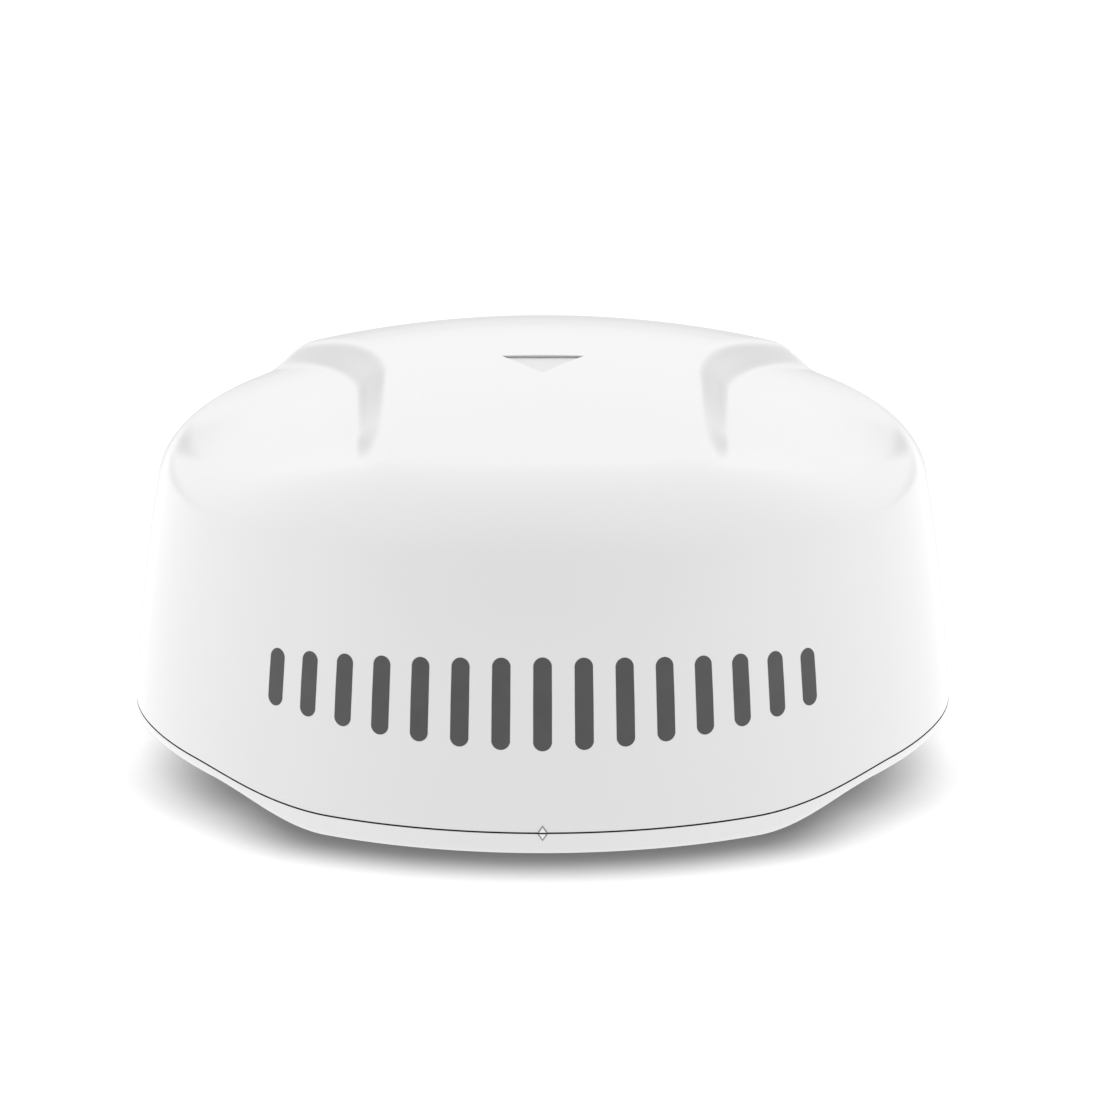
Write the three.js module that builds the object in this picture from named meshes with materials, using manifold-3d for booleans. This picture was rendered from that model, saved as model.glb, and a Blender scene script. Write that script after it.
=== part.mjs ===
// Radar dome antenna: a closed marine radome with its scanning antenna inside.
// Millimetres, +Z up, the front of the cover faces -Y. The origin is the centre of the mounting plane.
// Angles called azimuth are measured from the front of the cover, in degrees.
import * as THREE from 'three';
import { mergeVertices } from 'three/addons/utils/BufferGeometryUtils.js';
import Module from 'manifold-3d';

const wasm = await Module();
wasm.setup();

// ---- driving dimensions -------------------------------------------------------------------------
const WALL_RADIUS = 254;          // widest radius of the cover wall
const WALL_WIDEST_Z = -15;        // height at which the wall would be widest
const WALL_CURVE = 1121;          // vertical radius of the wall curve
const CROWN_TOP = 250;            // highest point of the cover
const CROWN_RADIUS = 668;         // sphere radius of the crown
const CROWN_FRONT_STRETCH = 0.85; // the crown's front half is this much flatter along Y
const DECK_DEPTH = 14.6;          // how far the side decks lie below the crown at DECK_DEPTH_X
const DECK_DEPTH_X = 200;
const DECK_DEPTH_SLOPE = 0.06;    // depth gained per millimetre further out
const DECK_FADE_Y = [-200, -105]; // the decks rise back to the crown between these
const DECK_EDGE_X = 105;          // half width of the raised centre
const DECK_EDGE_FLARE = 0.0222;   // how fast the raised centre widens towards the rear
const DECK_EDGE_START_Y = -19.4;  // where the raised centre starts to widen
const DECK_EDGE_POWER = 1.53;     // shape of that widening
const DECK_STEP_HALF = [11, 17.5]; // half width of the step down to the deck, front and rear
const DECK_STEP_Y = [-60, 120];   // the step widens between these
const RIM_BLEND_FRONT = 34;       // rounding between crown and wall at the front
const RIM_BLEND_SIDE = 15;        // rounding between deck and wall at the sides
const COVER_WALL = 4;             // plastic thickness of cover and base
const SEAM_HALF_GAP = 0.4;        // half of the parting gap
const AZIMUTH_STEPS = 72;         // facets round the cover and the base

const RECESS_HALF_WIDTH = 25.8;   // triangular recess on the crown
const RECESS_REAR_Y = -9;
const RECESS_TIP_Y = -46;
const RECESS_DEPTH = 2.1;
const RECESS_FLOOR_RISE = 0.026;  // rise of the recess floor per millimetre towards its tip
const MARK_HALF_WIDTH = 3.2;      // alignment diamond across the parting gap
const MARK_HEIGHT = 4.6;          // height of each of its halves
const MARK_STAND = 0.4;           // how far it stands out of the wall

const SEAM_FRONT_Z = 15;          // height of the parting gap across the front
const SEAM_SIDE_Z = 30;           // height of the parting gap round the sides
const SKIRT_FRONT_Z = 1;          // lower edge of the base at the front
const SKIRT_SIDE_Z = 22.5;        // lower edge of the base at the sides
const SKIRT_ROUND = 6;            // rounding under the lower edge of the base

const PAN_RADIUS = 212;           // radius of the base pan inside the skirt
const PAN_UNDERSIDE_Z = 4;
const PAN_FLOOR_Z = 8;
const RING_INNER = 233;           // upstanding sealing ring of the base
const RING_OUTER = 243;
const RING_TOP_Z = 34;
const GUTTER_DEPTH = 4;           // gutter between sealing ring and skirt, below the parting gap
const GASKET_RADIUS = 238;
const GASKET_GROOVE_HALF = 1.8;
const GASKET_GROOVE_DEPTH = 3;
const FIT_GAP = 0.3;              // air left wherever one piece rests on or passes through another

const MOUNT_X = 116.5;            // mounting pattern 233 x 141.5
const MOUNT_Y = 70.75;
const MOUNT_PAD_RADIUS = 18;
const MOUNT_BOSS_TOP_Z = 30;
const MOUNT_INSERT_RADIUS = 6.2;
const MOUNT_INSERT_BORE = 3.4;    // tapping size of an M8 thread
const MOUNT_INSERT_TOP_Z = 24;

const SCREW_CIRCLE = 222;         // circle of the four captive cover screws
const SCREW_AZIMUTHS = [45, 135, 225, 315];
const SCREW_SHANK_RADIUS = 2.5;
const SCREW_HOLE_RADIUS = 2.8;
const SCREW_HEAD_RADIUS = 4.6;
const SCREW_HEAD_Z = [14, 18.9];
const SCREW_TIP_Z = 48;
const SCREW_BOSS_RADIUS = 9;
const SCREW_POCKET_RADIUS = 5.3;
const SCREW_POCKET_TOP_Z = 20.5;
const COVER_FLANGE_Z = [34.6, 38.6];
const COVER_FLANGE_INNER = 232;
const COVER_BOSS_TOP_Z = 54;
const COVER_BOSS_RADIUS = 8;
const COVER_BOSS_HOLE_RADIUS = 4.5;
const COVER_BOSS_HOLE_TOP_Z = 50;
const COVER_INSERT_RADIUS = [2.8, 4.2];
const COVER_INSERT_Z = [35.2, 46];

const GEAR_MODULE = 1.5;
const GEAR_TEETH = 64;
const PINION_TEETH = 16;
const PRESSURE_ANGLE = 20 * Math.PI / 180;
const TOOTH_THINNING = 0.18;      // taken off each tooth so the pair runs with backlash
const GEAR_Z = [57.2, 62];
const PINION_Z = [56.8, 62.4];
const GEAR_CENTRES = GEAR_MODULE * (GEAR_TEETH + PINION_TEETH) / 2;

const SHAFT_RADIUS = 8.2;
const SHAFT_BORE = 4.5;
const SHAFT_BOTTOM_Z = 13.5;
const SHAFT_FLANGE_Z = [62.3, 65.3];
const SHAFT_FLANGE_RADIUS = 22;
const BEARING_OUTER = [14.5, 17.2];
const BEARING_INNER = [8.5, 11.4];
const BEARING_BALL_RADIUS = 1.9;
const BEARING_BALL_CIRCLE = 12.95;
const BEARING_BALLS = 7;
const LOWER_BEARING_Z = [16.3, 26.3];
const UPPER_BEARING_Z = [45.7, 55.7];
const PEDESTAL_FLANGE_RADIUS = 37;
const PEDESTAL_COLUMN_RADIUS = 23;
const PEDESTAL_SCREW_CIRCLE = 30.5;
const PEDESTAL_TOP_Z = 56;
const PEDESTAL_FOOT_BORE = 12.2;
const PEDESTAL_WAIST_BORE = 13.8; // bore between the two bearing seats

const MOTOR_HALF = 21;
const MOTOR_Z = [12, 51];
const MOTOR_PLATE_Z = [51.3, 54.3];
const MOTOR_SCREW_OFFSET = 15.5;
const MOTOR_SHAFT_RADIUS = 2.5;
const MOTOR_COLLAR_RADIUS = 10.8;
const MOTOR_COLLAR_HEIGHT = 1.6;
const BRACKET_HALF_WIDTH = 31;    // motor bracket, across its two legs
const BRACKET_SHEET = 3;

const ARRAY_HALF_LENGTH = 192;
const ARRAY_Z = [80, 150];
const ARRAY_PATCHES = 20;
const ARRAY_CHANNEL_Y = [-8, 10.7];
const ARRAY_BOARD_Y = [-10.4, -8.3];
const PATCH_FRONT_Y = -11.2;
const PATCH_HALF = 5.6;
const PATCH_ROW_Z = [102, 128];   // heights of the two patch rows
const ARRAY_FOOT_Z = [65.6, 68.6];
const ARRAY_EAR_TOP_Z = 132;
const MAGNET_Y = 38;              // magnet in the gear and the sensor below it

const POCKET_HALF_WIDTH = 42;     // cable pocket under the rear of the base
const POCKET_FRONT_Y = 122;
const POCKET_REAR_Y = 228;
const POCKET_TOP_Z = 30;
const CONNECTOR_Z = 19;

// ---- finishes -----------------------------------------------------------------------------------
const finish = (color, roughness, metalness) => ({ color, roughness, metalness });
const FINISH = {
  cover: finish(0xf2f2f0, 0.28, 0),
  base: finish(0xeeeeec, 0.32, 0),
  rubber: finish(0x1c1c1e, 0.85, 0),
  steel: finish(0xb9bcc0, 0.3, 1),
  brass: finish(0xc9a24a, 0.35, 1),
  aluminium: finish(0xc4c7ca, 0.4, 1),
  darkPlastic: finish(0x2a2b2d, 0.55, 0),
  board: finish(0x1f5a36, 0.5, 0),
  copperBoard: finish(0xb98a4e, 0.45, 0.4),
  acetal: finish(0xe6e2d6, 0.5, 0),
  motor: finish(0x303236, 0.45, 0.6),
  cable: finish(0x222222, 0.6, 0),
};

// ---- solid helpers ------------------------------------------------------------------------------
const radians = (degrees) => degrees * Math.PI / 180;

// Signed volume of an indexed geometry, used to turn a shell the right way out.
function signedVolume(geometry) {
  const p = geometry.attributes.position;
  const index = geometry.index;
  const a = new THREE.Vector3();
  const b = new THREE.Vector3();
  const c = new THREE.Vector3();
  let volume = 0;
  for (let i = 0; i < index.count; i += 3) {
    a.fromBufferAttribute(p, index.getX(i));
    b.fromBufferAttribute(p, index.getX(i + 1));
    c.fromBufferAttribute(p, index.getX(i + 2));
    volume += a.dot(b.cross(c)) / 6;
  }
  return volume;
}

// Turns any closed geometry into a manifold solid.
function solid(geometry) {
  const bare = geometry.clone();
  for (const name of Object.keys(bare.attributes)) {
    if (name !== 'position') bare.deleteAttribute(name);
  }
  const merged = mergeVertices(bare, 1e-4);
  const triangles = Array.from(merged.index.array);
  if (signedVolume(merged) < 0) triangles.reverse();
  const kept = [];
  for (let i = 0; i < triangles.length; i += 3) {
    const [a, b, c] = triangles.slice(i, i + 3);
    if (a !== b && b !== c && c !== a) kept.push(a, b, c);
  }
  return new wasm.Manifold(new wasm.Mesh({
    numProp: 3,
    vertProperties: Float32Array.from(merged.attributes.position.array),
    triVerts: Uint32Array.from(kept),
  }));
}

const union = (...parts) => parts.reduce((sum, part) => sum.add(part));
const cut = (body, ...tools) => tools.reduce((rest, tool) => rest.subtract(tool), body);

// A body of revolution about Z from [radius, z] points; the outline closes on itself or on the axis.
function lathe(outline, segments = 24) {
  const onAxis = outline[0][0] === 0 && outline[outline.length - 1][0] === 0;
  const points = outline.map(([r, z]) => new THREE.Vector2(r, z));
  if (!onAxis) points.push(points[0].clone());
  const geometry = new THREE.LatheGeometry(points, segments);
  geometry.rotateX(Math.PI / 2);
  return solid(geometry);
}

const disc = (radius, z0, z1, segments = 24) => (
  lathe([[0, z0], [radius, z0], [radius, z1], [0, z1]], segments));
const tube = (inner, outer, z0, z1, segments = 24) => (
  lathe([[inner, z0], [outer, z0], [outer, z1], [inner, z1]], segments));

// Limits [low, high] of a range given for the +X or +Y side, mirrored when side is negative.
const sided = (side, near, far) => (side > 0 ? [near, far] : [-far, -near]);

// A box from its limits along x, y and z.
function box([x0, x1], [y0, y1], [z0, z1]) {
  const geometry = new THREE.BoxGeometry(x1 - x0, y1 - y0, z1 - z0);
  geometry.translate((x0 + x1) / 2, (y0 + y1) / 2, (z0 + z1) / 2);
  return solid(geometry);
}

// A flat outline raised from z0 to z1.
function prism(shape, z0, z1, curveSegments = 6) {
  const geometry = new THREE.ExtrudeGeometry(shape, { depth: z1 - z0, bevelEnabled: false, curveSegments });
  geometry.translate(0, 0, z0);
  return solid(geometry);
}

// A rectangle with rounded corners, centred on (x, y).
function roundedRectangle(x, y, halfX, halfY, radius) {
  const shape = new THREE.Shape();
  shape.moveTo(x - halfX + radius, y - halfY);
  shape.lineTo(x + halfX - radius, y - halfY);
  shape.absarc(x + halfX - radius, y - halfY + radius, radius, -Math.PI / 2, 0);
  shape.lineTo(x + halfX, y + halfY - radius);
  shape.absarc(x + halfX - radius, y + halfY - radius, radius, 0, Math.PI / 2);
  shape.lineTo(x - halfX + radius, y + halfY);
  shape.absarc(x - halfX + radius, y + halfY - radius, radius, Math.PI / 2, Math.PI);
  shape.lineTo(x - halfX, y - halfY + radius);
  shape.absarc(x - halfX + radius, y - halfY + radius, radius, Math.PI, 1.5 * Math.PI);
  return shape;
}

const plate = (x, y, halfX, halfY, radius, z0, z1) => (
  prism(roundedRectangle(x, y, halfX, halfY, radius), z0, z1, 1));

// A round cable along a smooth curve through the given points.
function cable(points, radius, steps = 12) {
  const curve = new THREE.CatmullRomCurve3(points.map(([x, y, z]) => new THREE.Vector3(x, y, z)));
  const section = new THREE.Shape();
  section.absarc(0, 0, radius, 0, 2 * Math.PI);
  const options = { steps, extrudePath: curve, bevelEnabled: false, curveSegments: 4 };
  return solid(new THREE.ExtrudeGeometry(section, options));
}

// A ring of profiles: profileAt(azimuth) gives [radius, z] points from axis to axis, all rings alike.
function turnedShell(profileAt, steps = AZIMUTH_STEPS) {
  const positions = [];
  const triangles = [];
  const count = profileAt(0).length;
  for (let i = 0; i < steps; i += 1) {
    const azimuth = 360 * i / steps;
    for (const [r, z] of profileAt(azimuth)) {
      positions.push(r * Math.sin(radians(azimuth)), -r * Math.cos(radians(azimuth)), z);
    }
  }
  for (let i = 0; i < steps; i += 1) {
    const here = i * count;
    const next = ((i + 1) % steps) * count;
    for (let j = 0; j + 1 < count; j += 1) {
      triangles.push(here + j, next + j, next + j + 1, here + j, next + j + 1, here + j + 1);
    }
  }
  const geometry = new THREE.BufferGeometry();
  geometry.setAttribute('position', new THREE.Float32BufferAttribute(positions, 3));
  geometry.setIndex(triangles);
  return solid(geometry);
}

const root = new THREE.Group();
root.name = 'radar_dome_antenna';

// Adds one named sub-part; its body must be a single closed piece.
function addPart(name, body, look) {
  const pieces = body.decompose();
  if (pieces.length !== 1) throw new Error(`${name} is ${pieces.length} separate bodies`);
  const mesh = body.getMesh();
  const geometry = new THREE.BufferGeometry();
  geometry.setAttribute('position', new THREE.Float32BufferAttribute(mesh.vertProperties, 3));
  geometry.setIndex(Array.from(mesh.triVerts));
  geometry.computeVertexNormals();
  const part = new THREE.Mesh(geometry, new THREE.MeshStandardMaterial(look));
  part.name = name;
  root.add(part);
}

// ---- the outer surface --------------------------------------------------------------------------
const smoothStep = (t) => {
  const s = Math.min(1, Math.max(0, t));
  return s * s * (3 - 2 * s);
};
const between = (x, from, to) => smoothStep((x - from) / (to - from));
const wallRadiusAt = (z) => WALL_RADIUS - (z - WALL_WIDEST_Z) ** 2 / (2 * WALL_CURVE);

// Folds any azimuth onto 0..90: the rear repeats the front.
function foldedAzimuth(azimuth) {
  const a = ((azimuth % 360) + 360) % 360;
  const half = a > 180 ? 360 - a : a;
  return half > 90 ? 180 - half : half;
}
const seamHeight = (azimuth) => {
  const a = foldedAzimuth(azimuth);
  const rise = 0.72 * between(a, 31, 58) + 0.28 * between(a, 40, 76);
  return SEAM_FRONT_Z + (SEAM_SIDE_Z - SEAM_FRONT_Z) * rise;
};
const skirtHeight = (azimuth) => {
  const a = foldedAzimuth(azimuth);
  const rise = 0.78 * between(a, 32, 54) + 0.22 * between(a, 45, 74);
  return SKIRT_FRONT_Z + (SKIRT_SIDE_Z - SKIRT_FRONT_Z) * rise;
};

// Height of the cover top before the rim is rounded: a sphere with two lowered side decks.
function topHeight(x, y) {
  const along = y < 0 ? CROWN_FRONT_STRETCH * y : y;
  const crown = CROWN_TOP - CROWN_RADIUS + Math.sqrt(CROWN_RADIUS ** 2 - x * x - along * along);
  const edge = DECK_EDGE_X + DECK_EDGE_FLARE * Math.max(0, y - DECK_EDGE_START_Y) ** DECK_EDGE_POWER;
  const half = DECK_STEP_HALF[0] + (DECK_STEP_HALF[1] - DECK_STEP_HALF[0]) * between(y, ...DECK_STEP_Y);
  const beyondEdge = between(Math.abs(x), edge - half, edge + half);
  const depth = DECK_DEPTH + DECK_DEPTH_SLOPE * (Math.abs(x) - DECK_DEPTH_X);
  return crown - depth * beyondEdge * between(y, ...DECK_FADE_Y);
}

// Signed distance from the outer surface: negative inside, with the rim rounded.
function outside(x, y, z) {
  const azimuth = foldedAzimuth(Math.atan2(x, -y) * 180 / Math.PI);
  const rear = y > 0;
  const sideness = between(azimuth, rear ? 20 : 15, rear ? 60 : 75);
  const blend = RIM_BLEND_FRONT + (RIM_BLEND_SIDE - RIM_BLEND_FRONT) * sideness;
  const rho = Math.hypot(x, y);
  const overTop = (z - topHeight(x, y)) * CROWN_RADIUS / Math.hypot(CROWN_RADIUS, rho);
  const beyondWall = (rho - wallRadiusAt(z)) * WALL_CURVE / Math.hypot(WALL_CURVE, z - WALL_WIDEST_Z);
  const rounded = Math.hypot(Math.max(0, blend + overTop), Math.max(0, blend + beyondWall));
  return Math.min(-blend, Math.max(overTop, beyondWall)) + rounded;
}

// Walks from a point on the axis towards (rho, z) at an azimuth until the surface, or an offset of it.
function surfacePoint(azimuth, rho, z, depth) {
  const start = 60;
  const sine = Math.sin(radians(azimuth));
  const cosine = Math.cos(radians(azimuth));
  let low = 0.3;
  let high = 1.3;
  for (let i = 0; i < 36; i += 1) {
    const t = (low + high) / 2;
    const r = rho * t;
    if (outside(r * sine, -r * cosine, start + (z - start) * t) < -depth) low = t;
    else high = t;
  }
  return [rho * low, start + (z - start) * low];
}

const TOP_RINGS = [60, 90, 99, 106, 113, 128, 150, 175, 200, 218, 228];
const WALL_RINGS = [206, 196, 182, 150, 95];
function coverProfile(azimuth) {
  const seam = seamHeight(azimuth) + SEAM_HALF_GAP;
  const outer = [[0, topHeight(0, 0)]];
  for (const rho of TOP_RINGS) outer.push(surfacePoint(azimuth, rho, topHeight(0, rho), 0));
  for (const z of WALL_RINGS) outer.push(surfacePoint(azimuth, wallRadiusAt(z), z, 0));
  outer.push([wallRadiusAt(seam), seam]);
  const inner = [[wallRadiusAt(seam) - COVER_WALL, seam]];
  inner.push([wallRadiusAt(COVER_FLANGE_Z[0]) - COVER_WALL, COVER_FLANGE_Z[0]]);
  inner.push([COVER_FLANGE_INNER, COVER_FLANGE_Z[0]]);
  inner.push([COVER_FLANGE_INNER, COVER_FLANGE_Z[1]]);
  inner.push([wallRadiusAt(COVER_FLANGE_Z[1]) - COVER_WALL, COVER_FLANGE_Z[1]]);
  for (const z of [100, 180]) inner.push(surfacePoint(azimuth, wallRadiusAt(z), z, COVER_WALL));
  for (const rho of [215, 170, 125, 95]) {
    inner.push(surfacePoint(azimuth, rho, topHeight(0, rho), COVER_WALL));
  }
  inner.push([0, topHeight(0, 0) - COVER_WALL]);
  return [...outer, ...inner];
}

// ---- cover --------------------------------------------------------------------------------------
// Moves a body drawn on the Z axis out to a radius and round to an azimuth.
const aroundAxis = (body, radius, azimuth) => body.translate([0, -radius, 0]).rotate([0, 0, azimuth]);

// Boss of one cover screw on the rim, drawn at azimuth 0 and turned into place.
function coverBoss(azimuth) {
  const post = disc(COVER_BOSS_RADIUS, COVER_FLANGE_Z[0], COVER_BOSS_TOP_Z, 12);
  const web = box([-5, 5], [-27, 0], [COVER_FLANGE_Z[0], COVER_BOSS_TOP_Z]);
  return aroundAxis(union(post, web), SCREW_CIRCLE, azimuth);
}

function coverScrewHole(azimuth) {
  const hole = disc(COVER_BOSS_HOLE_RADIUS, COVER_FLANGE_Z[0] - 1, COVER_BOSS_HOLE_TOP_Z, 12);
  return aroundAxis(hole, SCREW_CIRCLE, azimuth);
}

// Triangular recess near the top of the crown: deep at its rear edge, running out at its rounded tip.
function triangleRecess() {
  const shape = new THREE.Shape();
  shape.moveTo(-RECESS_HALF_WIDTH, RECESS_REAR_Y);
  shape.lineTo(RECESS_HALF_WIDTH, RECESS_REAR_Y);
  shape.lineTo(4.2, RECESS_TIP_Y + 5.6);
  shape.quadraticCurveTo(0, RECESS_TIP_Y, -4.2, RECESS_TIP_Y + 5.6);
  const geometry = new THREE.ExtrudeGeometry(shape, { depth: 10, bevelEnabled: false, curveSegments: 4 });
  const p = geometry.attributes.position;
  for (let i = 0; i < p.count; i += 1) {
    const floor = CROWN_TOP - RECESS_DEPTH + RECESS_FLOOR_RISE * (RECESS_REAR_Y - p.getY(i));
    if (p.getZ(i) < 5) p.setZ(i, floor);
    else p.setZ(i, CROWN_TOP + 6);
  }
  return solid(geometry);
}

// Half of the alignment diamond: a thin raised wedge standing on the wall, above or below the gap.
function alignmentMark(upper) {
  const seam = SEAM_FRONT_Z + (upper ? SEAM_HALF_GAP : -SEAM_HALF_GAP);
  const tip = seam + (upper ? MARK_HEIGHT : -MARK_HEIGHT);
  const shape = new THREE.Shape();
  shape.moveTo(-MARK_HALF_WIDTH, seam);
  shape.lineTo(MARK_HALF_WIDTH, seam);
  shape.lineTo(0, tip);
  const face = wallRadiusAt(SEAM_FRONT_Z) + MARK_STAND;
  return prism(shape, face - 2, face).rotate([90, 0, 0]);
}

const coverShell = union(turnedShell(coverProfile), ...SCREW_AZIMUTHS.map(coverBoss), alignmentMark(true));
addPart('radome', cut(coverShell, ...SCREW_AZIMUTHS.map(coverScrewHole), triangleRecess()), FINISH.cover);

// ---- base ---------------------------------------------------------------------------------------
function baseProfile(azimuth) {
  const skirt = skirtHeight(azimuth);
  const seam = seamHeight(azimuth) - SEAM_HALF_GAP;
  const ledge = Math.max(skirt + COVER_WALL, PAN_FLOOR_Z + 0.5);
  const gutter = seamHeight(azimuth) - GUTTER_DEPTH;
  const edge = wallRadiusAt(skirt);
  const round = Math.min(SKIRT_ROUND, 0.75 * (seam - skirt));
  return [
    [0, PAN_UNDERSIDE_Z],
    [PAN_RADIUS, PAN_UNDERSIDE_Z],
    [PAN_RADIUS, skirt],
    [edge - round, skirt],
    [edge - 0.29 * round, skirt + 0.29 * round],
    [edge, skirt + round],
    [wallRadiusAt(seam), seam],
    [wallRadiusAt(seam) - COVER_WALL, seam],
    [wallRadiusAt(seam) - COVER_WALL, gutter],
    [RING_OUTER, gutter],
    [RING_OUTER, RING_TOP_Z],
    [RING_INNER, RING_TOP_Z],
    [RING_INNER, ledge],
    [PAN_RADIUS - COVER_WALL, ledge],
    [PAN_RADIUS - COVER_WALL, PAN_FLOOR_Z],
    [0, PAN_FLOOR_Z],
  ];
}

const mountPoints = [];
for (const y of [-MOUNT_Y, MOUNT_Y]) {
  for (const x of [-MOUNT_X, MOUNT_X]) mountPoints.push([x, y]);
}

// Pads on the mounting plane with bosses above them for the threaded inserts.
const mountBoss = ([x, y]) => lathe([
  [0, 0], [MOUNT_PAD_RADIUS, 0], [MOUNT_PAD_RADIUS, PAN_FLOOR_Z], [11, PAN_FLOOR_Z + 2],
  [11, MOUNT_BOSS_TOP_Z], [0, MOUNT_BOSS_TOP_Z]], 16).translate([x, y, 0]);
const mountHole = ([x, y]) => (
  disc(MOUNT_INSERT_RADIUS + FIT_GAP, -1, MOUNT_INSERT_TOP_Z + FIT_GAP, 12).translate([x, y, 0]));

// Boss of one captive screw through the base ledge.
function screwBoss(azimuth) {
  const post = disc(SCREW_BOSS_RADIUS, SCREW_HEAD_Z[0] - 0.5, RING_TOP_Z, 12);
  const web = box([-3, 3], [SCREW_CIRCLE - RING_INNER - 2, 0], [SCREW_HEAD_Z[0] + 4, RING_TOP_Z]);
  return aroundAxis(union(post, web), SCREW_CIRCLE, azimuth);
}
function screwBossHole(azimuth) {
  const pocket = disc(SCREW_POCKET_RADIUS, 2, SCREW_POCKET_TOP_Z, 12);
  const bore = disc(SCREW_HOLE_RADIUS, 2, RING_TOP_Z + 1, 12);
  return aroundAxis(union(pocket, bore), SCREW_CIRCLE, azimuth);
}

const gasketGroove = tube(
  GASKET_RADIUS - GASKET_GROOVE_HALF, GASKET_RADIUS + GASKET_GROOVE_HALF,
  RING_TOP_Z - GASKET_GROOVE_DEPTH, RING_TOP_Z + 1, AZIMUTH_STEPS);

const CONNECTORS = [
  { name: 'power_connector', x: -18, radius: 10, hole: 7, look: FINISH.darkPlastic },
  { name: 'network_connector', x: 18, radius: 9, hole: 6, look: FINISH.darkPlastic },
];
// A disc lying along Y, from y0 to y1 at (x, z).
const discAlongY = (radius, y0, y1, x, z, segments = 14) => (
  disc(radius, -y1, -y0, segments).rotate([90, 0, 0]).translate([x, 0, z]));

const pocketHousing = box(
  [-POCKET_HALF_WIDTH - COVER_WALL, POCKET_HALF_WIDTH + COVER_WALL],
  [POCKET_FRONT_Y - COVER_WALL, RING_INNER + 3], [PAN_UNDERSIDE_Z, POCKET_TOP_Z + COVER_WALL]);
const pocket = box(
  [-POCKET_HALF_WIDTH, POCKET_HALF_WIDTH], [POCKET_FRONT_Y, POCKET_REAR_Y], [-1, POCKET_TOP_Z]);
const cableExit = box([-16, 16], [POCKET_REAR_Y - 5, WALL_RADIUS + 10], [-1, 8]);
const connectorHoles = CONNECTORS.map(({ x, hole }) => (
  discAlongY(hole + FIT_GAP, POCKET_FRONT_Y - 8, POCKET_FRONT_Y + 2, x, CONNECTOR_Z)));

const VENT = { x: 62, y: 165, radius: 7 };
const ventHole = disc(4.3, 2, 12, 16).translate([VENT.x, VENT.y, 0]);
const GROUND = { x: -62, y: 165 };
const groundBoss = disc(7, PAN_UNDERSIDE_Z + 1, 20, 12).translate([GROUND.x, GROUND.y, 0]);
const groundHole = disc(2.8, 1, 16, 12).translate([GROUND.x, GROUND.y, 0]);

const PEDESTAL_SCREWS = { right: 60, rear: 180, left: 300 };
const PEDESTAL_SCREW_AZIMUTHS = Object.values(PEDESTAL_SCREWS);
const pedestalScrewHoles = PEDESTAL_SCREW_AZIMUTHS.map((azimuth) => (
  aroundAxis(disc(2.3, 5, 12, 12), PEDESTAL_SCREW_CIRCLE, azimuth)));

const BOARD_CENTRE_Y = -122;
const BOARD_HALF = [92, 42];
const BOARD_Z = [14.3, 15.9];
const boardPosts = [-80, 80].flatMap((x) => [-155, -89].map((y) => disc(4, 7, 14, 8).translate([x, y, 0])));

const baseShell = union(
  turnedShell(baseProfile), ...mountPoints.map(mountBoss), ...SCREW_AZIMUTHS.map(screwBoss),
  pocketHousing, groundBoss, ...boardPosts, alignmentMark(false));
addPart('base_housing', cut(
  baseShell, ...mountPoints.map(mountHole), ...SCREW_AZIMUTHS.map(screwBossHole), gasketGroove,
  pocket, cableExit, ...connectorHoles, ventHole, groundHole, ...pedestalScrewHoles), FINISH.base);

// ---- sealing and fixing -------------------------------------------------------------------------
const gasketHalf = GASKET_GROOVE_HALF - FIT_GAP;
const gasketBottom = RING_TOP_Z - GASKET_GROOVE_DEPTH + FIT_GAP;
const gasketTop = COVER_FLANGE_Z[0] - FIT_GAP;
addPart('rim_gasket', lathe([
  [GASKET_RADIUS - gasketHalf, gasketBottom], [GASKET_RADIUS + gasketHalf, gasketBottom],
  [GASKET_RADIUS + gasketHalf, gasketTop - 1], [GASKET_RADIUS, gasketTop],
  [GASKET_RADIUS - gasketHalf, gasketTop - 1]], AZIMUTH_STEPS), FINISH.rubber);

const SIDE_NAMES = ['front_left', 'front_right', 'rear_left', 'rear_right'];
mountPoints.forEach(([x, y], i) => {
  const insert = tube(MOUNT_INSERT_BORE, MOUNT_INSERT_RADIUS, 0.5, MOUNT_INSERT_TOP_Z, 12);
  addPart(`mount_insert_${SIDE_NAMES[i]}`, insert.translate([x, y, 0]), FINISH.brass);
});

// Azimuth 45 is the front right corner seen from the front; the names follow +X as right.
const SCREW_NAMES = { 45: 'front_right', 135: 'rear_right', 225: 'rear_left', 315: 'front_left' };
const hexSocket = (radius, z0, z1) => disc(radius, z0, z1, 6);
for (const azimuth of SCREW_AZIMUTHS) {
  const head = disc(SCREW_HEAD_RADIUS, SCREW_HEAD_Z[0], SCREW_HEAD_Z[1], 12);
  const shank = disc(SCREW_SHANK_RADIUS, SCREW_HEAD_Z[1] - 1, SCREW_TIP_Z, 12);
  const screw = cut(union(head, shank), hexSocket(2.3, SCREW_HEAD_Z[0] - 1, SCREW_HEAD_Z[0] + 2.6));
  addPart(`captive_screw_${SCREW_NAMES[azimuth]}`, aroundAxis(screw, SCREW_CIRCLE, azimuth), FINISH.steel);
  const washer = tube(2.9, 4.9, SCREW_HEAD_Z[1] + FIT_GAP, SCREW_POCKET_TOP_Z - FIT_GAP, 12);
  addPart(`seal_washer_${SCREW_NAMES[azimuth]}`, aroundAxis(washer, SCREW_CIRCLE, azimuth), FINISH.rubber);
  const insert = tube(...COVER_INSERT_RADIUS, ...COVER_INSERT_Z, 12);
  addPart(`radome_insert_${SCREW_NAMES[azimuth]}`, aroundAxis(insert, SCREW_CIRCLE, azimuth), FINISH.brass);
}

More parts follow.
